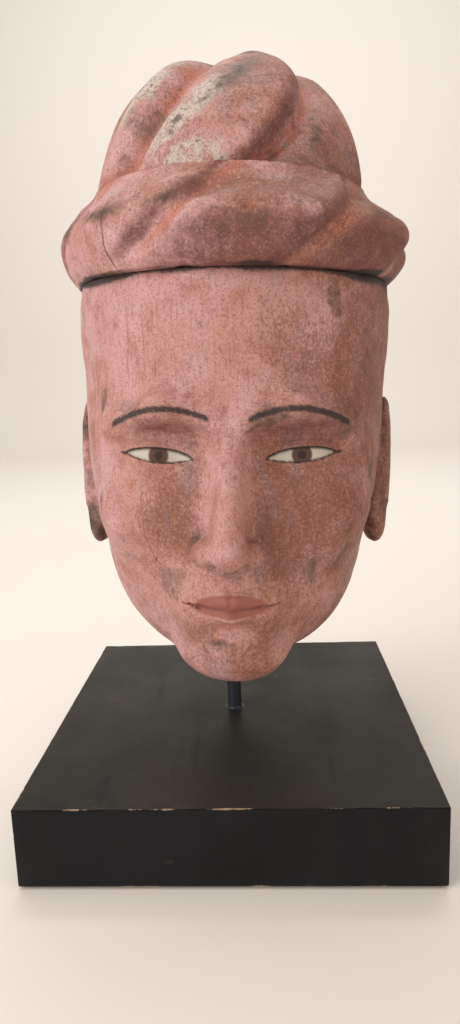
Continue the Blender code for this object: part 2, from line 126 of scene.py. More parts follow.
def softbox(name, place, target, size, power, hex_colour):
    lamp = bpy.data.lights.new(name, "AREA")
    lamp.shape = "RECTANGLE"
    lamp.size, lamp.size_y = size
    lamp.energy = power
    lamp.color = srgb(hex_colour)[:3]
    holder = bpy.data.objects.new(name, lamp)
    holder.location = place
    holder.rotation_euler = (Vector(target) - Vector(place)).to_track_quat("-Z", "Y").to_euler()
    bpy.context.scene.collection.objects.link(holder)


softbox("window_left", (-1.1, -1.0, 0.85), (0, 0, 0.3), (0.8, 1.1), 15, "FFFAF4")
softbox("bounce_right", (1.5, -0.9, 0.5), (0, 0, 0.3), (1.2, 1.2), 6.5, "FFE6CE")
softbox("ceiling", (-0.2, -0.1, 1.9), (0, 0, 0.3), (1.2, 1.2), 9, "FFFCF6")
softbox("backdrop_wash", (0, 0.9, 2.4), (0, 3.0, 0.0), (2.4, 0.6), 38, "FFFFFF")

# ------------------------------------------------------------------ plinth boards
# Five mitred boards of close-grained hardwood or fibreboard, glued into a box and painted black. Handling has
# rubbed the paint off the arrises, so a thin pale line of wood shows along them.

top_low, top_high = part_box("plinth_top_board")
front_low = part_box("plinth_front_board")[0]
HALF = -front_low.y
TOP = top_high.z
FOOT = front_low.z
BOARD = top_high.z - top_low.z
MITRE = 0.0001  # half of the hairline joint between two boards
EASED = 0.0005  # how far back the sharp edges are sanded
EDGE_BAND = 0.0007  # what lies this near to an edge is dented with it
DENT = 0.00012
DENT_CUTS = 42  # cuts along a board's length, for the dents to bend it at
HOLE_PLAY = 0.0004  # between the rod and the hole in the top board


def rubbed_edges(tree, place):
    """How far, in metres, a point is from the plinth's nearest outer arris."""
    axes = add(tree, "ShaderNodeSeparateXYZ", {0: place}).outputs
    gaps = []
    for axis in "XY":
        out = add(tree, "ShaderNodeMath", {0: axes[axis]}, operation="ABSOLUTE")
        gaps.append(add(tree, "ShaderNodeMath", {0: HALF, 1: out}, operation="SUBTRACT"))
    above = add(tree, "ShaderNodeMath", {0: TOP, 1: axes["Z"]}, operation="SUBTRACT")
    below = add(tree, "ShaderNodeMath", {0: axes["Z"], 1: FOOT}, operation="SUBTRACT")
    gaps.append(add(tree, "ShaderNodeMath", {0: above, 1: below}, operation="MINIMUM"))
    nearest = None
    for first, second in ((0, 1), (0, 2), (1, 2)):
        pair = add(tree, "ShaderNodeMath", {0: gaps[first], 1: gaps[second]}, operation="MAXIMUM")
        if nearest:
            pair = add(tree, "ShaderNodeMath", {0: nearest, 1: pair}, operation="MINIMUM")
        nearest = pair
    return nearest


def black_painted_board(name, grain_scale, paint_hex, dark_hex):
    """Brushed black paint over wood: brush marks and grain along the board, smears, scuffs, rubbed edges."""
    material, tree, shader = new_material(name)
    place = add(tree, "ShaderNodeTexCoord").outputs["Object"]
    # Paint layer: cloudy where hands have polished it, with darker smears and fine marks along the grain.
    cloud = add(tree, "ShaderNodeTexNoise", {"Vector": place, "Scale": 14, "Detail": 5, "Roughness": 0.6})
    grain_place = add(tree, "ShaderNodeMapping", {0: place, "Scale": grain_scale})
    grain = add(tree, "ShaderNodeTexNoise", {
        "Vector": grain_place, "Scale": 1, "Detail": 6, "Roughness": 0.65,
    })
    tone = add(tree, "ShaderNodeMapRange", {0: cloud, 1: 0.3, 2: 0.7, 3: 0, 4: 1})
    paint = add(tree, "ShaderNodeMix", {0: tone, 6: srgb(paint_hex), 7: srgb(dark_hex)}, data_type="RGBA")
    streak = add(tree, "ShaderNodeMapRange", {0: grain, 1: 0.60, 2: 0.72, 3: 0, 4: 0.6})
    streaked = add(tree, "ShaderNodeMix", {
        0: streak, 6: paint.outputs[2], 7: srgb("08080B"),
    }, data_type="RGBA")
    # Pale scuffs and specks of dust, 1 to 3 mm long.
    speck = add(tree, "ShaderNodeTexVoronoi", {"Vector": place, "Scale": 55, "Randomness": 1}, feature="F1")
    speck_size = add(tree, "ShaderNodeTexNoise", {"Vector": place, "Scale": 23, "Detail": 1})
    limit = add(tree, "ShaderNodeMapRange", {0: speck_size, 1: 0.58, 2: 0.75, 3: 0, 4: 0.10})
    dot = add(tree, "ShaderNodeMath", {0: speck.outputs["Distance"], 1: limit}, operation="LESS_THAN")
    scratch_place = add(tree, "ShaderNodeMapping", {
        0: place, "Rotation": (0, 0, 0.6), "Scale": (30, 160, 60),
    })
    scratch = add(tree, "ShaderNodeTexNoise", {"Vector": scratch_place, "Scale": 1, "Detail": 3})
    scuff = add(tree, "ShaderNodeMapRange", {0: scratch, 1: 0.70, 2: 0.78, 3: 0, 4: 0.30})
    pale = add(tree, "ShaderNodeMath", {0: dot, 1: scuff}, operation="MAXIMUM")
    scuffed = add(tree, "ShaderNodeMix", {
        0: pale, 6: streaked.outputs[2], 7: srgb("77706A"),
    }, data_type="RGBA")
    # Bare wood along the arrises, wider and narrower with the handling it has had.
    chip = add(tree, "ShaderNodeTexNoise", {"Vector": place, "Scale": 60, "Detail": 6, "Roughness": 0.7})
    reach = add(tree, "ShaderNodeMapRange", {0: chip, 1: 0.50, 2: 0.80, 3: 0.0003, 4: 0.0014})
    worn = add(tree, "ShaderNodeMath", {0: rubbed_edges(tree, place), 1: reach}, operation="LESS_THAN")
    wood = add(tree, "ShaderNodeMix", {0: chip, 6: srgb("7C5B40"), 7: srgb("C9B49A")}, data_type="RGBA")
    colour = add(tree, "ShaderNodeMix", {
        0: worn, 6: scuffed.outputs[2], 7: wood.outputs[2],
    }, data_type="RGBA")
    tree.links.new(colour.outputs[2], shader.inputs["Base Color"])
    gloss = add(tree, "ShaderNodeMapRange", {0: cloud, 1: 0.3, 2: 0.7, 3: 0.40, 4: 0.56})
    rough = add(tree, "ShaderNodeMath", {0: gloss, 1: worn}, operation="MAXIMUM")
    tree.links.new(rough.outputs[0], shader.inputs["Roughness"])
    relief = add(tree, "ShaderNodeMath", {0: grain, 1: worn}, operation="SUBTRACT")
    bump = add(tree, "ShaderNodeBump", {"Height": relief, "Strength": 0.25, "Distance": 0.0003})
    tree.links.new(bump.outputs[0], shader.inputs["Normal"])
    shader.inputs["Specular IOR Level"].default_value = 0.22
    return material


def finished_piece(name, mesh, material, body, slot, *nodes):
    """Links a finished mesh, with its one material, as the piece that stands for these CAD nodes."""
    mesh.name = name
    mesh.materials.clear()
    mesh.materials.append(material)
    piece = bpy.data.objects.new(name, mesh)
    bpy.context.scene.collection.objects.link(piece)
    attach(piece, body)
    if nodes:
        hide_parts(*nodes)
    return piece


def worn_board(corners, seed):
    """A board from its 8 corners, with eased edges that are dented a little along their length."""
    shape = bmesh.new()
    made = [shape.verts.new(corner) for corner in corners]
    bmesh.ops.convex_hull(shape, input=made)
    bmesh.ops.dissolve_limit(shape, angle_limit=0.01, verts=shape.verts, edges=shape.edges)
    bmesh.ops.recalc_face_normals(shape, faces=shape.faces)
    eased = [edge for edge in shape.edges if edge.calc_face_angle() > math.radians(80)]
    bmesh.ops.bevel(shape, geom=eased, offset=EASED, segments=3, profile=0.5, affect="EDGES")
    for axis in (0, 1):
        for cut_at in np.linspace(-HALF, HALF, DENT_CUTS)[1:-1]:
            normal = Vector((0, 0, 0))
            normal[axis] = 1
            geometry = shape.verts[:] + shape.edges[:] + shape.faces[:]
            bmesh.ops.bisect_plane(shape, geom=geometry, dist=1e-6, plane_co=normal * cut_at, plane_no=normal)
    dents = np.random.default_rng(seed)
    for vertex in shape.verts:
        x_gap, y_gap = HALF - abs(vertex.co.x), HALF - abs(vertex.co.y)
        top_gap = TOP - vertex.co.z
        near = sorted((x_gap, y_gap, top_gap))
        if near[1] < EDGE_BAND:
            push = abs(dents.normal(0, DENT))
            vertex.co -= Vector((math.copysign(push, vertex.co.x) * (x_gap < EDGE_BAND),
                                 math.copysign(push, vertex.co.y) * (y_gap < EDGE_BAND),
                                 push * (top_gap < EDGE_BAND)))
    mesh = bpy.data.meshes.new("board")
    shape.to_mesh(mesh)
    shape.free()
    mesh.shade_smooth()
    mesh.set_sharp_from_angle(angle=math.radians(35))
    return mesh


# Painted light and shade: all five boards carry one black paint, but the top board is painted a lighter black
# as painted light, and the side and end boards a darker, bluer black as painted shade.
top_paint_painted_lighter = black_painted_board("black_paint_top_board_with_painted_light", (60, 9, 60), "33312E", "282624")
side_paint_painted_darker = black_painted_board("black_paint_side_board_with_painted_shade", (9, 60, 90), "131319", "0B0B10")
end_paint_painted_darker = black_painted_board("black_paint_end_board_with_painted_shade", (60, 9, 90), "131319", "0B0B10")

INNER = HALF - BOARD
under = [(x, y, TOP - BOARD) for x in (MITRE - INNER, INNER - MITRE) for y in (MITRE - INNER, INNER - MITRE)]
upper = [(x, y, TOP) for x in (-HALF, HALF) for y in (-HALF, HALF)]
top_mesh = worn_board(upper + under, 1)

rod_low, rod_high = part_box("steel_rod")
ROD_RADIUS = (rod_high.x - rod_low.x) / 2
drill = bmesh.new()
bmesh.ops.create_cone(
    drill, cap_ends=True, segments=48, radius1=ROD_RADIUS + HOLE_PLAY, radius2=ROD_RADIUS + HOLE_PLAY,
    depth=0.1, matrix=Matrix.Translation((0, 0, TOP)),
)
drill_mesh = bpy.data.meshes.new("drill")
drill.to_mesh(drill_mesh)
drill.free()
drilled = bpy.data.objects.new("drilled", top_mesh)
bit = bpy.data.objects.new("bit", drill_mesh)
for tool in (drilled, bit):
    bpy.context.scene.collection.objects.link(tool)
hole = drilled.modifiers.new("rod_hole", "BOOLEAN")
hole.object = bit
hole.solver = "EXACT"
drilled_mesh = bpy.data.meshes.new_from_object(drilled.evaluated_get(bpy.context.evaluated_depsgraph_get()))
for tool in (drilled, bit):
    bpy.data.objects.remove(tool)
finished_piece("top_board", drilled_mesh, top_paint_painted_lighter, "stand", "black_painted_wood", "plinth_top_board")

for side, turn in (("front", 0), ("right", 1), ("back", 2), ("left", 3)):
    corners = []
    for depth in (0, BOARD):
        for x_side in (-1, 1):
            reach = HALF - MITRE - depth
            for height in (FOOT, TOP - MITRE - depth):
                spot = Vector((x_side * reach, depth - HALF, height))
                spot.rotate(Matrix.Rotation(turn * math.pi / 2, 3, "Z"))
                corners.append(spot)
    finish = end_paint_painted_darker if turn % 2 else side_paint_painted_darker
    mesh = worn_board(corners, 2 + turn)
    finished_piece(f"{side}_board", mesh, finish, "stand", "black_painted_wood", f"plinth_{side}_board")

# ------------------------------------------------------------------ felt and the plinth's hidden woodwork
# A sheet of pressed black felt is glued under the bottom panel. Panel and corner blocks are planed pine,
# left bare because nobody sees them.

felt, tree, shader = new_material("pressed_black_felt")
place = add(tree, "ShaderNodeTexCoord").outputs["Object"]
fibres = add(tree, "ShaderNodeTexNoise", {"Vector": place, "Scale": 900, "Detail": 4, "Roughness": 0.8})
matted = add(tree, "ShaderNodeTexNoise", {"Vector": place, "Scale": 60, "Detail": 3})
fuzz = add(tree, "ShaderNodeMath", {0: fibres, 1: matted}, operation="MULTIPLY")
shade = add(tree, "ShaderNodeMix", {0: fuzz, 6: srgb("121212"), 7: srgb("3A3836")}, data_type="RGBA")
tree.links.new(shade.outputs[2], shader.inputs["Base Color"])
shader.inputs["Roughness"].default_value = 0.95
shader.inputs["Sheen Weight"].default_value = 0.3
bump = add(tree, "ShaderNodeBump", {"Height": fibres, "Strength": 0.6, "Distance": 0.0004})
tree.links.new(bump.outputs[0], shader.inputs["Normal"])
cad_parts["felt_sheet"].material_slots[0].material = felt


def planed_pine(name, grain_turn):
    """Bare pine: straight grain 2 to 4 mm apart with darker late wood, sawn matt."""
    material, tree, shader = new_material(name)
    place = add(tree, "ShaderNodeTexCoord").outputs["Object"]
    turned = add(tree, "ShaderNodeMapping", {0: place, "Rotation": grain_turn, "Scale": (12, 200, 200)})
    rings = add(tree, "ShaderNodeTexNoise", {"Vector": turned, "Scale": 1, "Detail": 4, "Distortion": 0.6})
    band = add(tree, "ShaderNodeMapRange", {0: rings, 1: 0.42, 2: 0.62, 3: 0, 4: 1})
    shade = add(tree, "ShaderNodeMix", {0: band, 6: srgb("C9A06B"), 7: srgb("93683C")}, data_type="RGBA")
    tree.links.new(shade.outputs[2], shader.inputs["Base Color"])
    shader.inputs["Roughness"].default_value = 0.7
    bump = add(tree, "ShaderNodeBump", {"Height": rings, "Strength": 0.3, "Distance": 0.0003})
    tree.links.new(bump.outputs[0], shader.inputs["Normal"])
    return material


flat_pine = planed_pine("planed_pine_flat", (0, 0, 0))
upright_pine = planed_pine("planed_pine_upright", (0, math.pi / 2, 0))
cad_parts["bottom_panel"].material_slots[0].material = flat_pine
for number in range(1, 5):
    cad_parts[f"corner_block_{number}"].material_slots[0].material = upright_pine

# ------------------------------------------------------------------ screws and the rod's socket
# Zinc-plated countersunk wood screws with a cross slot hold the bottom panel and the turned steel flange that
# the rod stands in. Each set is one Geometry Nodes tree, run on a point for each screw.

steel, tree, shader = new_material("turned_and_zinc_plated_steel")
place = add(tree, "ShaderNodeTexCoord").outputs["Object"]
lathe_marks = add(tree, "ShaderNodeMapping", {0: place, "Scale": (60, 60, 2500)})
marks = add(tree, "ShaderNodeTexNoise", {"Vector": lathe_marks, "Scale": 1, "Detail": 3})
stain = add(tree, "ShaderNodeTexNoise", {"Vector": place, "Scale": 180, "Detail": 5})
shade = add(tree, "ShaderNodeMix", {0: stain, 6: srgb("B9B8B3"), 7: srgb("85827C")}, data_type="RGBA")
tree.links.new(shade.outputs[2], shader.inputs["Base Color"])
shader.inputs["Metallic"].default_value = 1.0
wear = add(tree, "ShaderNodeMapRange", {0: marks, 1: 0.3, 2: 0.7, 3: 0.25, 4: 0.45})
tree.links.new(wear.outputs[0], shader.inputs["Roughness"])
bump = add(tree, "ShaderNodeBump", {"Height": marks, "Strength": 0.15, "Distance": 0.0001})
tree.links.new(bump.outputs[0], shader.inputs["Normal"])
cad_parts["rod_socket"].material_slots[0].material = steel


def tree_inputs(name, sizes):
    """A Geometry Nodes tree that takes a geometry and these named sizes, and its group input and output."""
    made = bpy.data.node_groups.new(name, "GeometryNodeTree")
    made.interface.new_socket("Geometry", in_out="INPUT", socket_type="NodeSocketGeometry")
    for label, value in sizes.items():
        made.interface.new_socket(label, in_out="INPUT", socket_type="NodeSocketFloat").default_value = value
    made.interface.new_socket("Geometry", in_out="OUTPUT", socket_type="NodeSocketGeometry")
    return made, add(made, "NodeGroupInput").outputs, add(made, "NodeGroupOutput")


def run_tree(made, points, sizes):
    """Runs a tree on a mesh of points with these sizes, and returns the plain mesh that it makes."""
    host = bpy.data.objects.new("host", points)
    bpy.context.scene.collection.objects.link(host)
    modifier = host.modifiers.new("tree", "NODES")
    modifier.node_group = made
    for item in made.interface.items_tree:
        if item.item_type == "SOCKET" and item.in_out == "INPUT" and item.name in sizes:
            modifier[item.identifier] = sizes[item.name]
    result = bpy.data.meshes.new_from_object(host.evaluated_get(bpy.context.evaluated_depsgraph_get()))
    host.modifiers.clear()
    bpy.data.objects.remove(host)
    return result


screw_tree, given, out = tree_inputs("wood_screw", {
    "Length": 0.022, "Head Radius": 0.0038, "Shank Radius": 0.0018, "Head Depth": 0.0025, "Pitch": 0.0014,
})
cone = add(screw_tree, "GeometryNodeMeshCone", {
    "Vertices": 32, "Radius Top": given["Shank Radius"], "Radius Bottom": given["Head Radius"],
    "Depth": given["Head Depth"],
})
slot_parts = []
for slot_size in ((0.0044, 0.0008, 0.0026), (0.0008, 0.0044, 0.0026)):
    slot_parts.append(add(screw_tree, "GeometryNodeMeshCube", {"Size": slot_size}).outputs[0])
slotted = add(screw_tree, "GeometryNodeMeshBoolean", {0: cone}, operation="DIFFERENCE", solver="EXACT")
for part in slot_parts:
    screw_tree.links.new(part, slotted.inputs[1])
thread_length = add(
    screw_tree, "ShaderNodeMath", {0: given["Length"], 1: given["Head Depth"]}, operation="SUBTRACT"
)
core_radius = add(screw_tree, "ShaderNodeMath", {0: given["Shank Radius"], 1: 0.72}, operation="MULTIPLY")
core = add(screw_tree, "GeometryNodeMeshCone", {
    "Vertices": 20, "Radius Top": 0.0003, "Radius Bottom": core_radius, "Depth": thread_length,
})
core_place = add(screw_tree, "ShaderNodeCombineXYZ", {"Z": given["Head Depth"]})
core_set = add(screw_tree, "GeometryNodeTransform", {0: core, "Translation": core_place})
turns = add(screw_tree, "ShaderNodeMath", {0: thread_length, 1: given["Pitch"]}, operation="DIVIDE")
coil = add(screw_tree, "GeometryNodeCurveSpiral", {
    "Resolution": 16, "Rotations": turns, "Start Radius": core_radius, "End Radius": 0.0007,
    "Height": thread_length,
})
ridge = add(screw_tree, "GeometryNodeCurvePrimitiveCircle", {"Resolution": 4, "Radius": 0.0004})
thread = add(screw_tree, "GeometryNodeCurveToMesh", {0: coil, 1: ridge, "Fill Caps": True})
thread_set = add(screw_tree, "GeometryNodeTransform", {0: thread, "Translation": core_place})
whole = add(screw_tree, "GeometryNodeJoinGeometry")
for part in (slotted.outputs[0], core_set.outputs[0], thread_set.outputs[0]):
    screw_tree.links.new(part, whole.inputs[0])
on_points = add(screw_tree, "GeometryNodeInstanceOnPoints", {0: given["Geometry"], 2: whole})
real = add(screw_tree, "GeometryNodeRealizeInstances", {0: on_points})
plated = add(screw_tree, "GeometryNodeSetMaterial", {0: real, "Material": steel})
screw_tree.links.new(plated.outputs[0], out.inputs[0])

for kind in ("panel_screw", "flange_screw"):
    nodes = [f"{kind}_{number}" for number in range(1, 5)]
    boxes = [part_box(node) for node in nodes]
    points = bpy.data.meshes.new(kind)
    points.from_pydata([((low.x + high.x) / 2, (low.y + high.y) / 2, low.z) for low, high in boxes], [], [])
    screws = run_tree(screw_tree, points, {"Length": boxes[0][1].z - boxes[0][0].z})
    finished_piece(kind + "s", screws, steel, "stand", "bright_steel", *nodes)

# ------------------------------------------------------------------ rod
# A 10 mm round steel bar, brushed with blue-black paint that has pooled in a small fillet where it meets
# the plinth. Its top end is chamfered to find its way up into the head.


def turned_outside(shape):
    """Turns the faces of a closed shape outwards, all at once."""
    bmesh.ops.recalc_face_normals(shape, faces=shape.faces)
    if shape.calc_volume(signed=True) < 0:
        bmesh.ops.reverse_faces(shape, faces=shape.faces)


def skin(rings, joined=False):
    """A closed mesh over rings of points. joined rings run round to the first, and others are capped."""
    count, around = rings.shape[:2]
    shape = bmesh.new()
    grid = [[shape.verts.new(point) for point in ring] for ring in rings.tolist()]
    for row in range(count if joined else count - 1):
        lower, upper = grid[row], grid[(row + 1) % count]
        for i in range(around):
            shape.faces.new((lower[i - 1], lower[i], upper[i], upper[i - 1]))
    if not joined:
        shape.faces.new(grid[0])
        shape.faces.new(grid[-1])
    turned_outside(shape)
    mesh = bpy.data.meshes.new("skin")
    shape.to_mesh(mesh)
    shape.free()
    mesh.shade_smooth()
    return mesh


def lathe_rings(profile, sides):
    turn = np.linspace(0, 2 * math.pi, sides, endpoint=False)
    return np.array([
        np.stack((radius * np.cos(turn), radius * np.sin(turn), np.full(sides, height)), -1)
        for radius, height in profile
    ])


black_steel, tree, shader = new_material("brushed_black_paint_on_steel")
place = add(tree, "ShaderNodeTexCoord").outputs["Object"]
runs = add(tree, "ShaderNodeMapping", {0: place, "Scale": (400, 400, 30)})
brushed = add(tree, "ShaderNodeTexNoise", {"Vector": runs, "Scale": 1, "Detail": 4})
cloud = add(tree, "ShaderNodeTexNoise", {"Vector": place, "Scale": 90, "Detail": 4})
shade = add(tree, "ShaderNodeMix", {0: cloud, 6: srgb("1B1E27"), 7: srgb("2C303A")}, data_type="RGBA")
tree.links.new(shade.outputs[2], shader.inputs["Base Color"])
wear = add(tree, "ShaderNodeMapRange", {0: cloud, 1: 0.3, 2: 0.7, 3: 0.30, 4: 0.48})
tree.links.new(wear.outputs[0], shader.inputs["Roughness"])
bump = add(tree, "ShaderNodeBump", {"Height": brushed, "Strength": 0.3, "Distance": 0.0002})
tree.links.new(bump.outputs[0], shader.inputs["Normal"])

FILLET = 0.0022
FILLET_LIFT = 0.00015  # its foot lies on the paint of the top board
rod_profile = [(ROD_RADIUS, rod_low.z), (ROD_RADIUS, TOP - 0.0004)]
for step in range(7):
    bend = step / 6 * math.pi / 2
    up = FILLET_LIFT + 0.8 * FILLET * (1 - math.cos(bend))
    rod_profile.append((ROD_RADIUS + FILLET * (1 - math.sin(bend)), TOP + up))
rod_profile += [(ROD_RADIUS, rod_high.z - 0.0008), (ROD_RADIUS - 0.0008, rod_high.z)]
rod_mesh = skin(lathe_rings(rod_profile, 64))
rod_mesh.set_sharp_from_angle(angle=math.radians(40))
finished_piece("rod", rod_mesh, black_steel, "rod", "black_painted_steel", "steel_rod")

# ------------------------------------------------------------------ neck plug and sleeve
# A turned softwood plug fills the sawn neck. A blind steel tube in it drops over the rod.

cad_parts["neck_plug"].material_slots[0].material = upright_pine
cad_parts["neck_sleeve"].material_slots[0].material = steel

# ------------------------------------------------------------------ head: two hollowed halves
# A face half and a back half of one log, hollowed, pegged together and carved as one head. The face is a calm
# one on the carver's thirds: equal steps from chin to nose, to brow and to the turban's edge. It was grounded
# in white, painted pink, and has been rubbed and stained by age. Deep red painted shade darkens its eye
# sockets, the underside of its neck and its right side.

LEAN = math.radians(1.5)
plug_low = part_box("neck_plug")[0]
FACE_SHIFT = 0.003
carver_to_room = (
    Matrix.Translation((FACE_SHIFT, 0, plug_low.z)) @ Matrix.Rotation(LEAN, 4, "Y") @ Matrix.Scale(0.001, 4)
)

CHIN = 6.0
HAIRLINE = 249.0
THIRD = (HAIRLINE - CHIN) / 3
NOSE_BASE = CHIN + THIRD
BROW = CHIN + 2 * THIRD
EYE_LINE = BROW - THIRD / 4
MOUTH = NOSE_BASE - THIRD / 3
HOLLOW = (0, 0, 148)
HOLLOW_RADII = (64, 66, 84)
PLUG_HOLE_RADIUS, PLUG_HOLE_TOP = 26.3, 80.0
FACE_HALF = 102.0
EYE = 2 * FACE_HALF / 5  # an eye's width, and the space between the eyes
PARTING_Y = -12.0


def join(first, second, softness):
    """The union of two fields, with a fillet about as wide as softness."""
    share = np.clip(0.5 + 0.5 * (second - first) / softness, 0, 1)
    return second * (1 - share) + first * share - softness * share * (1 - share)


def gouge(wood, tool, softness):
    """Wood with the tool's shape taken out of it."""
    return -join(-wood, tool, softness)


def egg(points, centre, radii):
    """An ellipsoid's field: about the distance in millimetres, and negative inside."""
    offset = points - np.array(centre)
    near = np.linalg.norm(offset / np.array(radii), axis=1)
    slope = np.linalg.norm(offset / np.array(radii) ** 2, axis=1)
    return near * (near - 1) / np.maximum(slope, 1e-9)


def bar(points, start, end, start_radius, end_radius):
    """A round bar that tapers from start to end."""
    start, end = np.array(start), np.array(end)
    along = np.clip((points - start) @ (end - start) / ((end - start) @ (end - start)), 0, 1)
    nearest = start + along[:, None] * (end - start)
    return np.linalg.norm(points - nearest, axis=1) - (start_radius + along * (end_radius - start_radius))


def drift(points, wavelength, seed):
    """Smooth noise between about -1 and 1, with bumps a wavelength apart."""
    dice = np.random.default_rng(seed)
    total = np.zeros(len(points))
    for _ in range(9):
        direction = dice.normal(size=3)
        direction *= dice.uniform(0.7, 1.3) * 2 * math.pi / wavelength / np.linalg.norm(direction)
        total += np.sin(points @ direction + dice.uniform(0, 2 * math.pi))
    return total / 4


def lid_edges(x, z):
    """How far a point is below the upper lid's edge and above the lower one's, by the eye's own middle."""
    across = (x - EYE) / (EYE / 2)
    tilt = EYE_LINE + 1.6 * across
    arch = np.clip(1 - across**2, 0, None)
    return tilt + 5.0 * arch**0.8 - z, z - (tilt - 3.4 * arch)


def bare_head(points):
    side = points.copy()
    side[:, 0] = np.sqrt(points[:, 0] ** 2 + 0.3)
    x, z = side[:, 0], side[:, 2]
    form = egg(side, (0, 6, 225), (FACE_HALF, 106, 130))
    for work, shape, *sizes, softness in (
        # The masses: skull, cheeks, jaw, neck and chin.
        (join, egg, (0, -8, 135), (95, 88, 95), 30),
        (join, egg, (0, -18, 66), (77, 68, 61), 30),
        (join, egg, (0, -2, 10), (36, 42, 90), 9),
        (join, egg, (0, -70, CHIN + 19), (32, 21, 19), 18),
        (join, egg, (56, -59, 112), (23, 20, 21), 24),
        (gouge, egg, (110, -56, 192), (16, 30, 28), 18),
        # The brow ridge over hollow eye sockets, and the nose.
        (join, bar, (7, -97, BROW - 1), (38, -93, BROW + 6), 6, 5.5, 13),
        (join, bar, (38, -93, BROW + 6), (70, -71, BROW - 3), 5.5, 4, 15),
        (gouge, egg, (EYE, -103, EYE_LINE + 2), (25, 19, 15), 13),
        (gouge, egg, (19, -107, EYE_LINE + 1), (8, 15, 15), 8),
        (join, bar, (0, -88, BROW - 12), (0, -96, NOSE_BASE + 11), 8, 12, 8),
        (join, bar, (0, -97, BROW - 6), (0, -112, NOSE_BASE + 11), 5, 8, 10),
        (join, egg, (0, -111, NOSE_BASE + 9.5), (10, 9, 9), 6),
        (join, egg, (13.5, -101, NOSE_BASE + 7.5), (7.8, 11.5, 8), 4),
        (gouge, bar, (22, -96, NOSE_BASE + 15), (22.5, -93, NOSE_BASE + 2), 1.2, 1.6, 3),
        (join, egg, (0, -105, NOSE_BASE + 2.5), (4, 9, 3.5), 3),
        (gouge, egg, (7.3, -106.5, NOSE_BASE - 1), (3.3, 6.2, 4), 1.8),
        # The lips: a mound, the two lips, the line between them, and the hollows above and below.
        (join, egg, (0, -80, MOUTH + 1), (31, 15, 25), 16),
        (gouge, bar, (0, -98, NOSE_BASE - 4), (0, -97.5, MOUTH + 11), 2.4, 2.8, 3.5),
        (join, bar, (2.8, -95, MOUTH + 5.0), (27, -84.5, MOUTH + 1.5), 5.0, 1.6, 2.5),
        (join, bar, (0, -94.5, MOUTH - 5.2), (19, -87, MOUTH - 2.6), 6.4, 2.8, 2.8),
        (gouge, bar, (0, -100.5, MOUTH + 0.2), (13, -97, MOUTH - 0.2), 1.6, 1.5, 1.2),
        (gouge, bar, (13, -97, MOUTH - 0.2), (29, -84.5, MOUTH + 2.2), 1.5, 1.1, 1.2),
        (gouge, egg, (0, -97, MOUTH - 17), (17, 8, 6.5), 8),
    ):
        form = work(form, shape(side, *sizes), softness)
    # The eyes: a lidded ball with an almond opening, a cut over the upper lid and a light one below.
    above, below = lid_edges(x, z)
    open_eye = np.clip(np.minimum(above, below) / 0.7 + 0.5, 0, 1)
    upper_cut = np.exp(-(((above + 5.2) / 1.0) ** 2)) * (np.abs(x - EYE) < 21)
    lower_cut = np.exp(-(((below + 5.0) / 1.3) ** 2)) * (np.abs(x - EYE) < 16)
    rim = np.exp(-(((above + 1.3) / 1.3) ** 2)) + 0.6 * np.exp(-(((below + 1.1) / 1.1) ** 2))
    ball = egg(side, (EYE, -67, EYE_LINE), (23, 22, 19)) + 1.9 * open_eye + 1.3 * upper_cut + 0.5 * lower_cut
    return join(form, ball - 0.5 * rim * (np.abs(x - EYE) < 22), 4.5)


def tool_marks(points):
    """The unevenness of carving by hand: a slow wander, and flats left by a broad flat chisel."""
    behind = np.clip((points[:, 1] + 30) / 60, 0, 1)
    return 0.7 * drift(points, 46, 3) + (0.18 + 0.5 * behind) * drift(points, 15, 4)


def head_wood(points):
    return bare_head(points) + tool_marks(points)


def hollowed_head(points):
    """The head with the hollow inside it and the plug's hole up through the neck."""
    wood = np.maximum(head_wood(points), -egg(points, HOLLOW, HOLLOW_RADII))
    slope = math.sin(LEAN)
    plug_x = points[:, 0] + points[:, 2] * slope + FACE_SHIFT * 1000
    plug = np.maximum(np.hypot(plug_x, points[:, 1]) - PLUG_HOLE_RADIUS, points[:, 2] - PLUG_HOLE_TOP)
    return np.maximum(wood, -plug)


def settle(points, field, rounds=4, most=1.0):
    """Moves points along the field's slope until they lie on its surface."""
    nudge = 0.15
    for _ in range(rounds):
        here = field(points)
        slope = np.stack([field(points + step) - here for step in np.eye(3) * nudge], -1) / nudge
        size = np.maximum((slope**2).sum(1), 0.05)
        points = points - np.clip(here / size, -most, most)[:, None] * slope
    return points


def carve(field, low, high, cell):
    """The closed surface of a field inside a box, as a bmesh of quads about a cell wide."""
    axes = [np.arange(first, last, cell) for first, last in zip(low, high)]
    grid = np.stack(np.meshgrid(*axes, indexing="ij"), -1).reshape(-1, 3)
    values = field(grid).reshape([len(axis) for axis in axes])
    volume = openvdb.FloatGrid(4.0)
    volume.copyFromArray(np.clip(values / cell, -4, 4).astype(np.float32))
    points, quads = volume.convertToQuads(isovalue=0.0)
    shape = bmesh.new()
    made = [shape.verts.new(point) for point in (points * cell + np.array(low)).tolist()]
    for quad in quads.tolist():
        shape.faces.new([made[i] for i in quad])
    return shape


def refine(shape, chosen):
    """Splits the faces whose middles are chosen into four."""
    middles = np.array([face.calc_center_median() for face in shape.faces])
    faces = [face for face, keep in zip(shape.faces, chosen(middles)) if keep]
    edges = list({edge for face in faces for edge in face.edges})
    bmesh.ops.subdivide_edges(shape, edges=edges, cuts=1, use_grid_fill=True)


def points_of(shape):
    return np.array([vertex.co for vertex in shape.verts])


def move_points(shape, points):
    for vertex, point in zip(shape.verts, points.tolist()):
        vertex.co = point


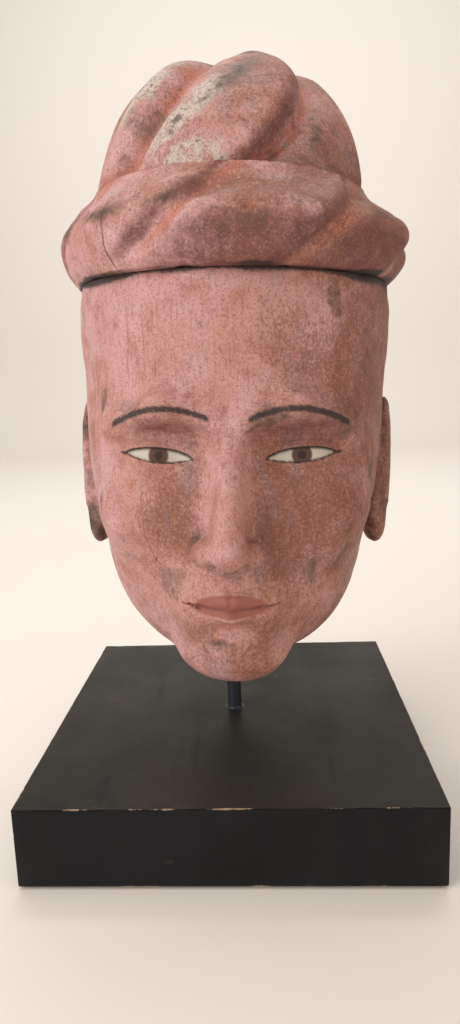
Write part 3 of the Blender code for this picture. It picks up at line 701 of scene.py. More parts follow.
def saw_off(shape, point, normal):
    """Cuts away what lies on the normal's side of a plane, and closes the cut with one flat face."""
    everything = shape.verts[:] + shape.edges[:] + shape.faces[:]
    bmesh.ops.bisect_plane(
        shape, geom=everything, dist=1e-4, plane_co=point, plane_no=normal, clear_outer=True
    )
    rim = [edge for edge in shape.edges if edge.is_boundary]
    bmesh.ops.triangle_fill(shape, edges=rim, use_beauty=True)


def outer_face(middles):
    return egg(middles, HOLLOW, np.array(HOLLOW_RADII) + 8) > 0


def features(middles):
    x, y, z = np.abs(middles[:, 0]), middles[:, 1], middles[:, 2]
    eyes = (np.abs(x - EYE) < 27) & (np.abs(z - EYE_LINE - 2) < 15)
    mouth = (x < 36) & (np.abs(z - MOUTH) < 14)
    nose = (x < 26) & (z > NOSE_BASE - 6) & (z < NOSE_BASE + 24)
    return (y < -60) & (eyes | mouth | nose)


HEAD_CELL, EAR_CELL = 2.6, 1.3
head = carve(hollowed_head, (-112, -126, -8), (112, 118, 262), HEAD_CELL)
refine(head, lambda middles: outer_face(middles) & (middles[:, 2] < 256))
move_points(head, settle(points_of(head), hollowed_head))
refine(head, features)
move_points(head, settle(points_of(head), hollowed_head, 3, 0.5))
level_up = Matrix.Rotation(-LEAN, 3, "Y") @ Vector((0, 0, 1))
saw_off(head, (0, 0, HAIRLINE - 0.3), (0, 0, 1))
saw_off(head, (0, 0, 0), -level_up)


def bell(distance, width):
    return np.exp(-((distance / width) ** 2))


def hollowness(points, normals, field, reach):
    """0 on open or rounded wood, and towards 1 in its cuts and corners."""
    return np.clip(1 - field(points + normals * reach) / reach, 0, 1)


def face_marks(points):
    """The colour and strength of the painted marks: brows, lids, eyes, lips and the band under the turban."""
    x, y, z = np.abs(points[:, 0]), points[:, 1], points[:, 2]
    ragged = drift(points, 3.1, 11)
    slow = drift(points, 38, 12)
    front = y < -50
    marks = np.zeros((len(points), 4))

    def lay(hex_colour, strength):
        strength = np.clip(strength, 0, 1)[:, None]
        marks[:, :3] = marks[:, :3] * (1 - strength) + np.array(srgb(hex_colour)[:3]) * strength
        marks[:, 3:] = marks[:, 3:] * (1 - strength) + strength

    above, below = lid_edges(x, z)
    inside = np.clip(np.minimum(above, below) / 0.5, 0, 1) * front
    from_iris = np.hypot(x - EYE, z - EYE_LINE - 0.7)
    lip = np.maximum(np.hypot(x / 27, (z - MOUTH - 2) / 7.5), np.hypot(x / 25, (z - MOUTH + 1) / 11))
    lay("9C5B50", 0.8 * front * np.clip((1.02 - lip) / 0.16, 0, 1))
    lay("6E3A34", 0.8 * front * bell(z - MOUTH - x**2 / 420, 0.9) * (x < 29))
    lay("CFC9BE", inside)
    lay("543A2B", inside * np.clip((6.2 - from_iris) / 0.8, 0, 1))
    lay("0E0B0A", inside * np.clip((2.9 - from_iris) / 0.8, 0, 1))
    span = front * np.clip((23 - np.abs(x - EYE - 1.5)) / 2, 0, 1)
    lay("241C1A", span * bell(above - 0.1, 1.1) * (1.0 + 0.15 * ragged))
    lay("3A2C27", span * bell(below - 0.1, 0.7) * (0.75 + 0.4 * ragged))
    brow_z = BROW + 7 - 8 * ((x - 36) / 30) ** 2
    brow_span = front * np.clip((x - 9) / 3, 0, 1) * np.clip((70 - x) / 3, 0, 1)
    lay("2B2224", brow_span * bell(z - brow_z - 0.5 * slow, 2.4) * (0.95 + 0.15 * ragged))
    depth = HAIRLINE - z
    ends = np.clip((x - 62) / 25, 0, 1)
    lay("4F4540", 0.65 * np.clip((7.0 + 3.0 * ends + 3.4 * slow + 0.5 * ragged - depth) / 6.0, 0, 1))
    lay("241F20", np.clip((2.8 + 2.0 * ends + 1.3 * slow + 0.35 * ragged - depth) / 2.4, 0, 1))
    marks[:, :3] /= np.maximum(marks[:, 3:], 0.02)
    return marks


def face_wear_and_painted_shade(points, hollow):
    """How much each place is rubbed to the brown ground, grimy, rubbed to the white, and darkened with deep
    red painted shade.
    """
    x, y, z = points.T
    front = np.clip((-y - 20) / 40, 0, 1)
    rubbed = front * bell(np.hypot((np.abs(x) - 32) / 26, (z - 118) / 50), 1.0)
    rubbed += front * 0.6 * bell(np.hypot(x / 46, (z - 30) / 26), 1.0) + 0.3 * bell(z - 206, 18) * front
    rubbed += 0.6 * np.clip((x - 10) / 80, -0.5, 1) + 0.3 * drift(points, 40, 23)
    rubbed -= 0.9 * front * bell(x + 3, 9) * (z > NOSE_BASE)
    grime = 0.75 * hollow + 0.6 * np.clip(drift(points * (1, 1, 0.4), 20, 21) - 0.25, 0, 1)
    ground = 0.4 * np.clip(drift(points, 40, 22), 0, 1) * np.clip((-x - 40) / 40, 0, 1)
    # Painted shade, deep red: in the eye sockets under the brow, on the underside of the neck, and over the
    # head's right side.
    painted_shade = 0.75 * front * bell(np.hypot((np.abs(x) - 38) / 30, (z - BROW + 5) / 11), 1.0)
    painted_shade += 0.9 * np.clip((16 - z) / 14, 0, 1) + 0.6 * np.clip((x - 30) / 60, 0, 1)
    return np.clip(np.stack((rubbed, grime, ground, painted_shade), -1), 0, 1)


def store(mesh, name, values):
    """Keeps a value, or four of them, for each point of the mesh, for its material to read."""
    wide = values.ndim == 2
    attribute = mesh.attributes.new(name, "FLOAT_COLOR" if wide else "FLOAT", "POINT")
    attribute.data.foreach_set("color" if wide else "value", values.astype(np.float32).ravel())


# The paint: white ground and matt pink distemper on close-grained wood, rubbed, stained and speckled by age.
# The carving stores where each kind of wear is, and where painted shade darkens it. Noise as fine as the
# wood's pores then breaks their edges up.
painted_wood, tree, shader = new_material("rubbed_pink_distemper_on_wood_with_painted_shade")
place = add(tree, "ShaderNodeTexCoord").outputs["Object"]
# The wear attribute's alpha is painted shade, not wear: a deep red darkening where shade falls.
wear = add(tree, "ShaderNodeAttribute", attribute_name="wear").outputs
wear_kinds = add(tree, "ShaderNodeSeparateColor", {0: wear["Color"]}).outputs
marks = add(tree, "ShaderNodeAttribute", attribute_name="marks").outputs
fold = add(tree, "ShaderNodeAttribute", attribute_name="fold").outputs
# More of the cooler and the greyed pink towards the head's left side, by the room's x.
sides = add(tree, "ShaderNodeSeparateXYZ", {0: place})
toward_left = add(tree, "ShaderNodeMapRange", {0: sides.outputs["X"], 1: 0.03, 2: -0.10, 3: 0.0, 4: 1.0})
stored = {
    "nowhere": 0.0, "toward_left": toward_left, "rubbed": wear_kinds["Red"], "grime": wear_kinds["Green"],
    "ground": wear_kinds["Blue"], "painted_shade": wear["Alpha"], "fold": fold["Fac"], "marked": marks["Alpha"],
}
patterns = {}
for pattern, scale, detail, roughness, stretch in (
    ("brushfuls", 17, 3, 0.6, (1, 1, 1)),  # 60 mm apart
    ("stains", 44, 8, 0.72, (1, 1, 1)),  # 20 mm, with ragged edges
    ("flecks", 120, 8, 0.78, (1, 1, 1)),  # 8 mm, torn into far finer ones
    ("streaks", 60, 6, 0.65, (1, 1, 0.3)),  # smears 17 mm wide and 60 mm long, up the log
    ("dabs", 520, 4, 0.65, (1, 1, 1)),  # 1.9 mm
    ("pores", 900, 4, 0.75, (1, 1, 1)),  # 1.1 mm and finer
    ("grain", 60, 5, 0.62, (14, 14, 0.7)),  # streaks up the log, 1 mm wide
    ("checks", 17, 2, 0.5, (1.8, 1.8, 0.05)),  # shrinkage cracks up the log
):
    turned = add(tree, "ShaderNodeMapping", {0: place, "Rotation": (0, -LEAN, 0), "Scale": stretch})
    noise = add(tree, "ShaderNodeTexNoise", {
        "Vector": turned, "Scale": scale, "Detail": detail, "Roughness": roughness,
    })
    patterns[pattern] = noise.outputs[0]
check_gap = add(tree, "ShaderNodeMath", {0: patterns["checks"], 1: 0.5}, operation="SUBTRACT")
check_line = add(tree, "ShaderNodeMath", {0: check_gap}, operation="ABSOLUTE")
check_ends = add(tree, "ShaderNodeMapRange", {0: patterns["brushfuls"], 1: 0.38, 2: 0.43, 3: 0.0, 4: 0.004})
check = add(tree, "ShaderNodeMath", {0: check_line, 1: check_ends}, operation="ADD")
# One long check runs down the roll, left of its front: the line where a wavering plane meets it.
SPLIT_FACING = Vector((0.81, -0.59, 0.05))
SPLIT_SPOT = carver_to_room @ Vector((-66.0, -94.5, 267.0))
WAVER = 0.006
split_depth = SPLIT_FACING.dot(SPLIT_SPOT)
wavering = add(tree, "ShaderNodeMath", {
    0: patterns["stains"], 1: WAVER, 2: -WAVER / 2 - split_depth,
}, operation="MULTIPLY_ADD")
split_gap = add(tree, "ShaderNodeVectorMath", {0: place, 1: SPLIT_FACING}, operation="DOT_PRODUCT")
split_gap = add(tree, "ShaderNodeMath", {0: split_gap.outputs["Value"], 1: wavering}, operation="ADD")
split_line = add(tree, "ShaderNodeMath", {0: split_gap}, operation="ABSOLUTE")
split_reach = add(tree, "ShaderNodeVectorMath", {0: place, 1: SPLIT_SPOT}, operation="DISTANCE")
split_ends = add(tree, "ShaderNodeMapRange", {
    0: split_reach.outputs["Value"], 1: 0.017, 2: 0.024, 3: 0.0, 4: 0.004,
})
split_wide = add(tree, "ShaderNodeMath", {0: split_line, 1: 1.6, 2: split_ends}, operation="MULTIPLY_ADD")
either = add(tree, "ShaderNodeMath", {0: check, 1: split_wide}, operation="MINIMUM")
patterns["checks"] = either.outputs[0]

# Each layer: its colour, where it is stored, how much that counts for, the pattern added to it, the sums at
# which it starts and is full, and the most that it covers.
paint = srgb("C8948A")
for colour, where, gain, pattern, start, full, most in (
    ("D3A2A6", "toward_left", 0.16, "brushfuls", 0.50, 0.64, 0.9),  # cooler brushfuls
    ("B0715E", "nowhere", 0, "stains", 0.47, 0.64, 0.70),  # warmer stains
    ("A66E54", "rubbed", 0.45, "stains", 0.58, 0.98, 0.88),  # thin over the brown ground
    ("8C594B", "rubbed", 0.10, "streaks", 0.56, 0.74, 0.62),  # smears of the brown
    ("A88C92", "toward_left", 0.05, "streaks", 0.44, 0.34, 0.60),  # greyed smears
    ("C67B66", "fold", 0.50, "stains", 0.64, 0.92, 0.86),  # coral kept in the folds
    # Painted shade: the deep red below darkens undersides, eye sockets, right flanks and the right side.
    ("602B33", "painted_shade", 0.50, "flecks", 0.60, 1.02, 0.86),  # deep red of the undersides
    ("EBC4A8", "nowhere", 0, "pores", 0.53, 0.70, 0.40),  # chalky and yellowed specks
    ("D0C3B8", "ground", 0.50, "flecks", 0.66, 0.76, 0.86),  # white ground laid bare
    ("4A443C", "ground", 0.22, "flecks", 0.70, 0.76, 0.82),  # dirt in the bare ground
    ("655446", "grime", 0.50, "flecks", 0.70, 0.90, 0.76),  # handling grime
    ("352E27", "grime", 0.32, "flecks", 0.76, 0.88, 0.74),  # its thickest flecks
    ("74453A", "rubbed", 0.20, "dabs", 0.56, 0.72, 0.55),  # the brown ground, in dots
    ("6B3F3A", "nowhere", 0, "pores", 0.47, 0.34, 0.66),  # dirty pores
    ("5E4440", "nowhere", 0, "flecks", 0.62, 0.68, 0.60),  # knocks and old dirt
    ("6A4C45", "nowhere", 0, "grain", 0.54, 0.74, 0.60),  # dark grain
    ("4B332D", "nowhere", 0, "checks", 0.0012, 0.0004, 0.75),  # cracks
    (marks["Color"], "marked", 0.80, "pores", 0.80, 1.10, 0.94),  # painted lines
):
    amount = add(tree, "ShaderNodeMath", {
        0: stored[where], 1: gain, 2: patterns[pattern],
    }, operation="MULTIPLY_ADD")
    share = add(tree, "ShaderNodeMapRange", {0: amount, 1: start, 2: full, 3: 0.0, 4: most})
    over = srgb(colour) if isinstance(colour, str) else colour
    paint = add(tree, "ShaderNodeMix", {0: share, 6: paint, 7: over}, data_type="RGBA").outputs[2]
tree.links.new(paint, shader.inputs["Base Color"])
sheen = add(tree, "ShaderNodeMapRange", {0: patterns["stains"], 1: 0.3, 2: 0.7, 3: 0.55, 4: 0.78})
tree.links.new(sheen.outputs[0], shader.inputs["Roughness"])
relief = 0.0
for pattern, height in (("dabs", 0.5), ("pores", 0.35), ("grain", -0.3)):
    relief = add(tree, "ShaderNodeMath", {
        0: patterns[pattern], 1: height, 2: relief,
    }, operation="MULTIPLY_ADD")
crack_depth = add(tree, "ShaderNodeMapRange", {0: patterns["checks"], 1: 0.0, 2: 0.0016, 3: -0.5, 4: 0.0})
relief = add(tree, "ShaderNodeMath", {0: relief, 1: crack_depth}, operation="ADD").outputs[0]
bump = add(tree, "ShaderNodeBump", {"Height": relief, "Strength": 0.7, "Distance": 0.0007})
tree.links.new(bump.outputs[0], shader.inputs["Normal"])


def mesh_of(shape, name):
    turned_outside(shape)
    mesh = bpy.data.meshes.new(name)
    shape.to_mesh(mesh)
    shape.free()
    return mesh


HOLLOW_REACH = 5.0  # a cut or corner narrower than this holds grime
SHARP = math.radians(62)


def carved_piece(mesh, name, field, wear_and_shade_at, marks_at, fold_at, *nodes):
    """Stores what the paint needs at each point, and sets the carver's mesh in its place on the rod."""
    points, normals = np.empty(len(mesh.vertices) * 3), np.empty(len(mesh.vertices) * 3)
    mesh.vertices.foreach_get("co", points)
    mesh.vertex_normals.foreach_get("vector", normals)
    points, normals = points.reshape(-1, 3), normals.reshape(-1, 3)
    # The stored wear holds three kinds of real wear and, in its alpha, the painted shade.
    store(mesh, "wear", wear_and_shade_at(points, hollowness(points, normals, field, HOLLOW_REACH)))
    store(mesh, "marks", marks_at(points))
    store(mesh, "fold", fold_at(points))
    mesh.transform(carver_to_room)
    mesh.shade_smooth()
    mesh.set_sharp_from_angle(angle=SHARP)
    return finished_piece(name, mesh, painted_wood, "head", "painted_carved_wood", *nodes)


def no_fold(points):
    return np.zeros(len(points))


for name, facing, node in (("face_half", -1, "face_block"), ("back_half", 1, "back_block")):
    half = head.copy()
    saw_off(half, (0, PARTING_Y + facing * 0.06, 0), (0, -facing, 0))
    carved_piece(mesh_of(half, name), name, head_wood, face_wear_and_painted_shade, face_marks, no_fold, node)
head.free()

# ------------------------------------------------------------------ ears
# Each ear is carved from its own small block and let into the side of the head behind the joint. They are
# upright and close to the head, with a rolled rim and a long lobe.

EAR_MIDDLE = (BROW + NOSE_BASE) / 2


def ear_wood(points):
    side = points.copy()
    side[:, 0] = np.abs(points[:, 0])
    x, y, z = side.T
    form = egg(side, (97, 16, EAR_MIDDLE), (9, 18.5, 48))
    rim = np.hypot((y - 17) / 15.5, (z - EAR_MIDDLE - 5) / 38)
    rolled = np.hypot((rim - 1) * 15.5, x - 104) - 3.2
    form = join(form, rolled + 0.6 * np.clip(EAR_MIDDLE - 22 - z, 0, None), 5)
    form = gouge(form, egg(side, (113, 14, EAR_MIDDLE + 7), (14.5, 10, 28)), 3)
    form = join(form, bar(side, (103, 20, EAR_MIDDLE - 12), (104, 21, EAR_MIDDLE + 24), 2.0, 2.6), 3)
    form = join(form, egg(side, (101, 3, EAR_MIDDLE - 2), (4, 3.5, 7)), 4)
    form = join(form, egg(side, (100, 12, EAR_MIDDLE - 37), (6, 9, 14)), 9)
    return np.maximum(form, -(bare_head(points) + 4)) + 0.2 * drift(points, 12, 31)


def ear_wear_and_painted_shade(points, hollow):
    wear = face_wear_and_painted_shade(points, hollow)
    # Painted shade: the ears, set back behind the cheeks, are painted darker all over, with more of the grime
    # colour and a fixed share of the deep red painted shade.
    wear[:, 1] = np.clip(wear[:, 1] + 0.45, 0, 1)
    wear[:, 3] = 0.35
    return wear


def no_marks(points):
    return np.zeros((len(points), 4))


for name, x_side in (("right_ear", -1), ("left_ear", 1)):
    low_x, high_x = sorted((x_side * 82, x_side * 113))
    ear = carve(ear_wood, (low_x, -10, 66), (high_x, 42, 184), EAR_CELL)
    move_points(ear, settle(points_of(ear), ear_wood, 3, 0.6))
    carved_piece(mesh_of(ear, name), name + "_carving", ear_wood, ear_wear_and_painted_shade, no_marks, no_fold, name)

# ------------------------------------------------------------------ pegs
# Whittled hardwood pegs hold the halves, the ears, the roll and the dome together, glued into blind holes.
# One Geometry Nodes tree makes a peg of unit size, with knife-cut flats, and stands it on each point.

PEGS = [(f"head_peg_{number}", (math.pi / 2, 0, 0)) for number in range(1, 5)]
PEGS += [(f"dome_peg_{number}", (0, LEAN, 0)) for number in range(1, 5)]
PEGS += [(f"roll_peg_{number}", (0, LEAN, 0)) for number in range(1, 4)]
PEGS += [(f"{side}_ear_peg", (0, math.pi / 2 + LEAN, 0)) for side in ("left", "right")]

peg_boxes = [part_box(node) for node, _ in PEGS]
peg_points = bpy.data.meshes.new("peg_points")
peg_points.from_pydata([(low + high) / 2 for low, high in peg_boxes], [], [])
peg_sizes = []
for low, high in peg_boxes:
    thickness, length = min(high - low) * 0.99, max(high - low) * 0.985
    peg_sizes += [thickness / 2, thickness / 2, length]
for name, values in (("turn", [angle for _, turn in PEGS for angle in turn]), ("size", peg_sizes)):
    peg_points.attributes.new(name, "FLOAT_VECTOR", "POINT").data.foreach_set("vector", values)

peg_tree, given, out = tree_inputs("whittled_peg", {"Taper": 0.9, "Knife Cuts": 0.06})
blank = add(peg_tree, "GeometryNodeMeshCone", {
    "Vertices": 9, "Side Segments": 10, "Radius Top": given["Taper"], "Radius Bottom": 1.0, "Depth": 1.0,
})
centred = add(peg_tree, "GeometryNodeTransform", {0: blank, "Translation": (0, 0, -0.5)})
spot = add(peg_tree, "GeometryNodeInputPosition")
cuts = add(peg_tree, "ShaderNodeTexNoise", {"Vector": spot, "Scale": 3.0})
depth = add(peg_tree, "ShaderNodeMath", {0: cuts, 1: given["Knife Cuts"]}, operation="MULTIPLY")
outward = add(peg_tree, "GeometryNodeInputNormal")
shaved = add(peg_tree, "ShaderNodeVectorMath", {0: outward, "Scale": depth}, operation="SCALE")
away = add(peg_tree, "ShaderNodeVectorMath", {0: shaved, "Scale": -1.0}, operation="SCALE")
whittled = add(peg_tree, "GeometryNodeSetPosition", {0: centred, "Offset": away})
peg_turn = add(peg_tree, "GeometryNodeInputNamedAttribute", {"Name": "turn"}, data_type="FLOAT_VECTOR")
peg_size = add(peg_tree, "GeometryNodeInputNamedAttribute", {"Name": "size"}, data_type="FLOAT_VECTOR")
stood = add(peg_tree, "GeometryNodeInstanceOnPoints", {
    0: given["Geometry"], 2: whittled, "Rotation": peg_turn, "Scale": peg_size,
})
real = add(peg_tree, "GeometryNodeRealizeInstances", {0: stood})
bare = add(peg_tree, "GeometryNodeSetMaterial", {0: real, "Material": upright_pine})
peg_tree.links.new(bare.outputs[0], out.inputs[0])
pegs = run_tree(peg_tree, peg_points, {})
finished_piece("pegs", pegs, upright_pine, "head", "bare_wood", *(node for node, _ in PEGS))

# ------------------------------------------------------------------ turban: the twisted roll
# A ring of wood carved as a cloth twisted like a rope: its strands cross the front from low on one side to
# high on the other, each one's steep right flank over the soft start of the next. Its sloping top runs into
# the dome that stands in it, and its underside overhangs the forehead.

TURBAN_X = -2.0
DOME_X, DOME_Y = 86.0, 93.0
ROLL_MIDDLE, ROLL_TOP = 269.0, 297.0
ROLL_DROP = 23.0
INSET = 0.15  # the joint between the roll and the dome
ROLL_OUT = 24.0
ROLL_SLOPE = 1.4
VALLEYS = np.radians([-128, -74, -19, 33, 76, 128, 182])
VALLEY_SLANT = math.radians(19)


def roll_place(points):
    """The turn round the head, the height on the roll from -1 to 1, and mm right of the nearest valley."""
    turn = np.arctan2((points[..., 0] - TURBAN_X) / DOME_X, -points[..., 1] / DOME_Y)
    height = (points[..., 2] - ROLL_MIDDLE) / (ROLL_TOP - ROLL_MIDDLE)
    apart = turn[..., None] - VALLEY_SLANT * height[..., None] - VALLEYS
    apart = (apart + math.pi) % (2 * math.pi) - math.pi
    nearest = np.take_along_axis(apart, np.abs(apart).argmin(-1)[..., None], -1)[..., 0]
    return turn, height, nearest * 106


def overlap(apart, steep, gentle):
    """1 in a valley's bottom: it falls steeply from the strand on its left and rises gently to the right."""
    return bell(apart, np.where(apart < 0, steep, gentle))


def roll_relief(points):
    """How far the strands' surface is pushed out from a plain ring, in millimetres."""
    turn, height, apart = roll_place(points)
    valley = 6.0 * overlap(apart, 8, 18) * np.clip((height + 0.62) / 0.3, 0.25, 1)
    lumps = 1.3 * drift(points.reshape(-1, 3), 44, 46) + 0.35 * drift(points.reshape(-1, 3), 13, 47)
    ridge = 1.6 * bell(height - 0.30, 0.22)
    return 0.4 + lumps.reshape(height.shape) + ridge + 1.4 * bell(apart + 19, 10) - valley


def roll_rings(around, steps):
    """Sections round the ring: each runs up its outside to the dome, down the dome's wall and out again."""
    turn = np.linspace(0, 2 * math.pi, around, endpoint=False)[:, None]
    start = -math.asin((ROLL_MIDDLE - HAIRLINE) / ROLL_DROP)
    angle = np.linspace(start, math.pi / 2, steps)[None, :]
    slope = np.where(angle > 0, ROLL_SLOPE, 1.0)
    out = (ROLL_OUT + 3 * np.sin(turn)) * np.cos(angle) ** slope
    up = np.where(angle > 0, ROLL_TOP - ROLL_MIDDLE, -ROLL_DROP) * np.abs(np.sin(angle)) ** slope + 0 * turn
    up += 5 * np.clip(1 - out / 6, 0, 1) ** 2 * (angle > 0)

    def ring_points(out, up):
        x = TURBAN_X + (DOME_X + out) * np.sin(turn)
        return np.stack((x, -(DOME_Y + out) * np.cos(turn), ROLL_MIDDLE + up), -1)

    fade = np.clip(out / 9, 0, 1)
    push = roll_relief(ring_points(out, up)) * fade
    out, up = out + push * np.cos(angle), up + push * np.sin(angle) * np.clip(fade, 0, 1)
    out, up = np.maximum(out, INSET), np.maximum(up, HAIRLINE - ROLL_MIDDLE)
    wall = up[:, -1:] + (up[:, :1] - up[:, -1:]) * np.linspace(0, 1, 10)[1:]
    foot = INSET + (out[:, :1] - INSET) * np.linspace(0, 1, 8)[1:-1]
    out = np.hstack((out, np.full(wall.shape, INSET), foot))
    up = np.hstack((up, wall, np.repeat(up[:, :1], foot.shape[1], 1)))
    return ring_points(out, up)


def roll_fold(points):
    turn, height, apart = roll_place(points)
    return overlap(apart - 2, 3, 9) * np.clip(height + 1.1, 0, 1)


def roll_wear_and_painted_shade(points, hollow):
    turn, height, apart = roll_place(points)
    x = points[:, 0]
    along = drift(points, 45, 43)
    crest = bell(height - 0.36 - 0.14 * drift(points, 60, 41), 0.17) * (1 - 0.8 * overlap(apart, 7, 14))
    rubbed = 0.35 + 0.4 * drift(points, 50, 42) + 0.5 * np.clip(x / 100, -1, 1)
    rubbed += 0.9 * bell(height - 0.62, 0.26) * np.clip((x + 60) / 50, 0, 1)
    grime = 0.95 * crest * np.clip(0.55 + 0.8 * along, 0, 1) + 0.4 * hollow
    grime += 0.6 * bell(np.hypot((x - 8) / 26, (height + 0.05) / 0.30), 1.0) * (points[:, 1] < 0)
    ground = 0.4 * bell(height - 0.62, 0.3) * np.clip(drift(points, 36, 44), 0, 1)
    # Painted shade, deep red: on the roll's underside and on each strand's steep right flank, less at the far
    # right end and at the left.
    under = np.clip((0.30 - height) / 0.35, 0, 1) * np.clip((x + 70) / 60, 0.15, 1)
    flank = bell(apart + 8, 6) * np.clip(height + 0.9, 0, 1)
    painted_shade = (0.92 * under + 0.8 * flank) * (1 - 0.8 * bell(apart - 4, 8)) * np.clip((125 - x) / 25, 0.3, 1)
    return np.clip(np.stack((rubbed, grime, ground, painted_shade), -1), 0, 1)


def roll_marks(points):
    marks = no_marks(points)
    marks[:, :3] = srgb("241F20")[:3]
    ends = np.clip((np.abs(points[:, 0]) - 70) / 25, 0, 1)
    edge = 1.4 + 2.2 * ends + 0.9 * drift(points, 38, 12) + 0.3 * drift(points, 4.0, 45)
    marks[:, 3] = np.clip((edge - (points[:, 2] - HAIRLINE)) / 2.4, 0, 1)
    return marks


def roll_field(points):
    """About how far a point is outside the roll, for finding its hollows."""
    across = np.hypot((points[:, 0] - TURBAN_X) * DOME_Y / DOME_X, points[:, 1]) - DOME_Y
    size = np.hypot(across / ROLL_OUT, (points[:, 2] - ROLL_MIDDLE) / (ROLL_TOP - ROLL_MIDDLE))
    return np.minimum((size - 1) * ROLL_OUT - roll_relief(points), across)


roll = skin(roll_rings(560, 96), joined=True)
carved_piece(roll, "twisted_roll", roll_field, roll_wear_and_painted_shade, roll_marks, roll_fold, "turban_roll")

# ------------------------------------------------------------------ turban: the folded dome
# The cloth is carved in broad folds that swirl up from the roll to a point behind the top. Coral paint
# stays in the folds, and the lobes between them are rubbed to the white ground on their left flanks.

DOME_TOP = 389.0
SHOULDER = 287.0
SQUARENESS = 2.05
FOLD_FOOT = 297.0
FOLD_POLE = np.array((3.0, 14.0))
FOLDS = [  # where each starts and how far it turns, in degrees, how soon it turns, depth, and its two widths
    (-142, 36, 1.0, 5.0, 12, 14),
    (-93, 34, 1.1, 3.5, 12, 14),
    (-43, 36, 1.1, 8.2, 11, 13),
    (-4, 62, 0.5, 8.5, 10, 15),
    (76, 30, 1.0, 5.5, 9, 15),
    (124, 36, 1.0, 5.5, 10, 15),
    (170, 38, 1.0, 5.5, 10, 15),
]


def dome_place(points):
    """The turn round the fold's pole, the height up the folds from 0 to 1, and the distance from the pole."""
    rise = np.clip((points[..., 2] - FOLD_FOOT) / (DOME_TOP - FOLD_FOOT), 0, 1)
    lift = np.clip((points[..., 2] - SHOULDER) / (DOME_TOP - SHOULDER), 0, 1)
    share = (1 - lift**SQUARENESS) ** (1 / SQUARENESS)
    x = points[..., 0] - TURBAN_X - FOLD_POLE[0] * (1 - share)
    y = points[..., 1] - FOLD_POLE[1] * (1 - share)
    return np.arctan2(x / DOME_X, -y / DOME_Y), rise, np.hypot(x, y)


def fold_distances(points):
    """Millimetres from each fold's middle, positive to its right."""
    turn, rise, radius = dome_place(points)
    apart = []
    for start, sweep, bend, *_ in FOLDS:
        line = math.radians(start) + math.radians(sweep) * rise**bend
        apart.append(((turn - line + math.pi) % (2 * math.pi) - math.pi) * radius)
    return apart


def dome_relief(points):
    """How far the folds and lumps are pushed in from a plain dome, in millimetres."""
    turn, rise, radius = dome_place(points)
    depth = -1.6 * drift(points.reshape(-1, 3), 55, 51).reshape(rise.shape)
    for (*_, deep, steep, gentle), apart in zip(FOLDS, fold_distances(points)):
        depth += deep * (0.6 * overlap(apart, steep, gentle) + 0.4 * bell(apart, 6.5))
        depth -= 2.4 * bell(apart + 22, 12)
    flat_top = 2.4 * np.clip((rise - 0.78) / 0.14, 0, 1)
    return depth * np.clip(rise / 0.09, 0, 1) * np.clip((radius - 4) / 24, 0, 1) + flat_top


def dome_rings(around):
    turn = np.linspace(0, 2 * math.pi, around, endpoint=False)[None, :]
    angle = np.radians(np.linspace(0, 89.4, 124))
    height = np.concatenate((
        np.linspace(HAIRLINE, SHOULDER, 18)[:-1],
        SHOULDER + (DOME_TOP - SHOULDER) * np.sin(angle) ** (2 / SQUARENESS),
    ))[:, None]
    share = np.concatenate((np.ones(17), np.cos(angle) ** (2 / SQUARENESS)))[:, None]
    x = TURBAN_X + FOLD_POLE[0] * (1 - share) + DOME_X * share * np.sin(turn)
    y = FOLD_POLE[1] * (1 - share) - DOME_Y * share * np.cos(turn)
    points = np.stack((x, y, height + 0 * turn), -1)
    inward = points - np.array((TURBAN_X, 5, 300))
    inward[..., 2] = np.maximum(inward[..., 2], 0)
    inward /= np.linalg.norm(inward, axis=-1)[..., None]
    return points - inward * dome_relief(points)[..., None]


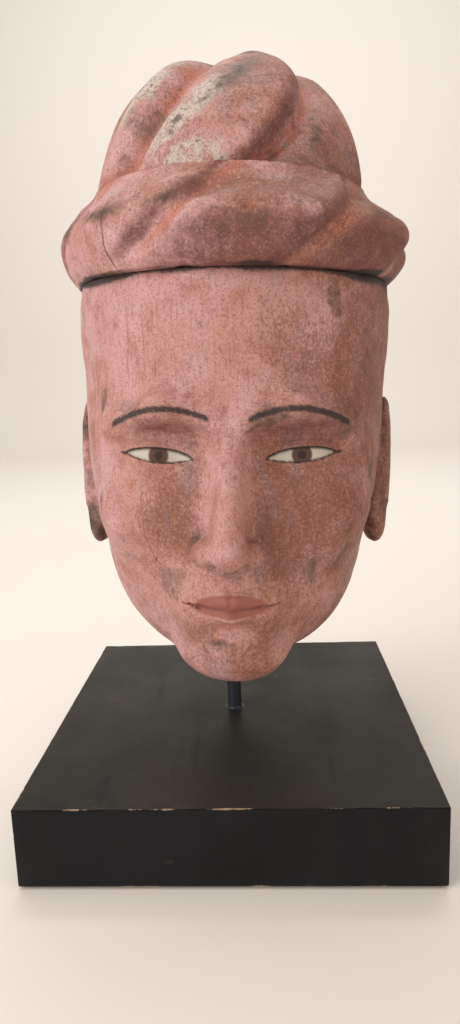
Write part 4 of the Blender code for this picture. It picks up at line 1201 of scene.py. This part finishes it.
def dome_fold(points):
    turn, rise, radius = dome_place(points)
    apart = fold_distances(points)
    channel = np.max([overlap(gap - 1, 6, 9) for gap in apart], axis=0) * np.clip(rise / 0.05, 0, 1)
    return np.clip(channel, 0, 1) * np.clip((radius - 12) / 20, 0, 1) + 0.35 * bell(rise - 0.02, 0.05)


def dome_wear_and_painted_shade(points, hollow):
    turn, rise, radius = dome_place(points)
    apart = fold_distances(points)
    x = points[:, 0]
    patchy = np.clip(0.9 + 0.35 * drift(points, 22, 52), 0, 1)
    ground = bell(apart[2] - 10 - 34 * rise, 14) * bell(rise - 0.40, 0.34) * patchy
    ground = np.maximum(ground, bell(apart[2] + 24, 12) * bell(rise - 0.62, 0.26) * patchy)
    ground = np.maximum(ground, 0.5 * np.clip(drift(points, 50, 53) - 0.1, 0, 1))
    grime = 0.6 * bell(apart[2] - 34, 9) * bell(rise - 0.60, 0.16) + 0.45 * bell(rise - 0.90, 0.08)
    grime += 0.35 * hollow + 0.5 * np.clip(drift(points, 30, 54) - 0.35, 0, 1)
    # Painted shade, deep red: on the right flanks of the two front folds, and low on the dome's right side.
    flank = np.max([bell(gap + 12, 8) for gap in apart[3:5]], axis=0) * np.clip(rise / 0.15, 0, 1)
    painted_shade = 0.85 * flank + 0.5 * np.clip((x + 10) / 80, 0, 1) * bell(rise - 0.15, 0.3)
    rubbed = 0.3 + 0.4 * drift(points, 46, 55) + 0.5 * np.clip(x / 80, -0.5, 1)
    return np.clip(np.stack((rubbed, grime, ground, painted_shade), -1), 0, 1)


def dome_field(points):
    """About how far a point is outside the dome, for finding its hollows."""
    flat = np.hypot((points[:, 0] - TURBAN_X) / DOME_X, points[:, 1] / DOME_Y)
    lift = np.maximum(points[:, 2] - SHOULDER, 0) / (DOME_TOP - SHOULDER)
    whole = (flat**SQUARENESS + lift**SQUARENESS) ** (1 / SQUARENESS)
    return np.minimum((whole - 1) * DOME_X + dome_relief(points), roll_field(points))


dome = skin(dome_rings(520))
carved_piece(dome, "folded_dome", dome_field, dome_wear_and_painted_shade, no_marks, dome_fold, "turban_dome")
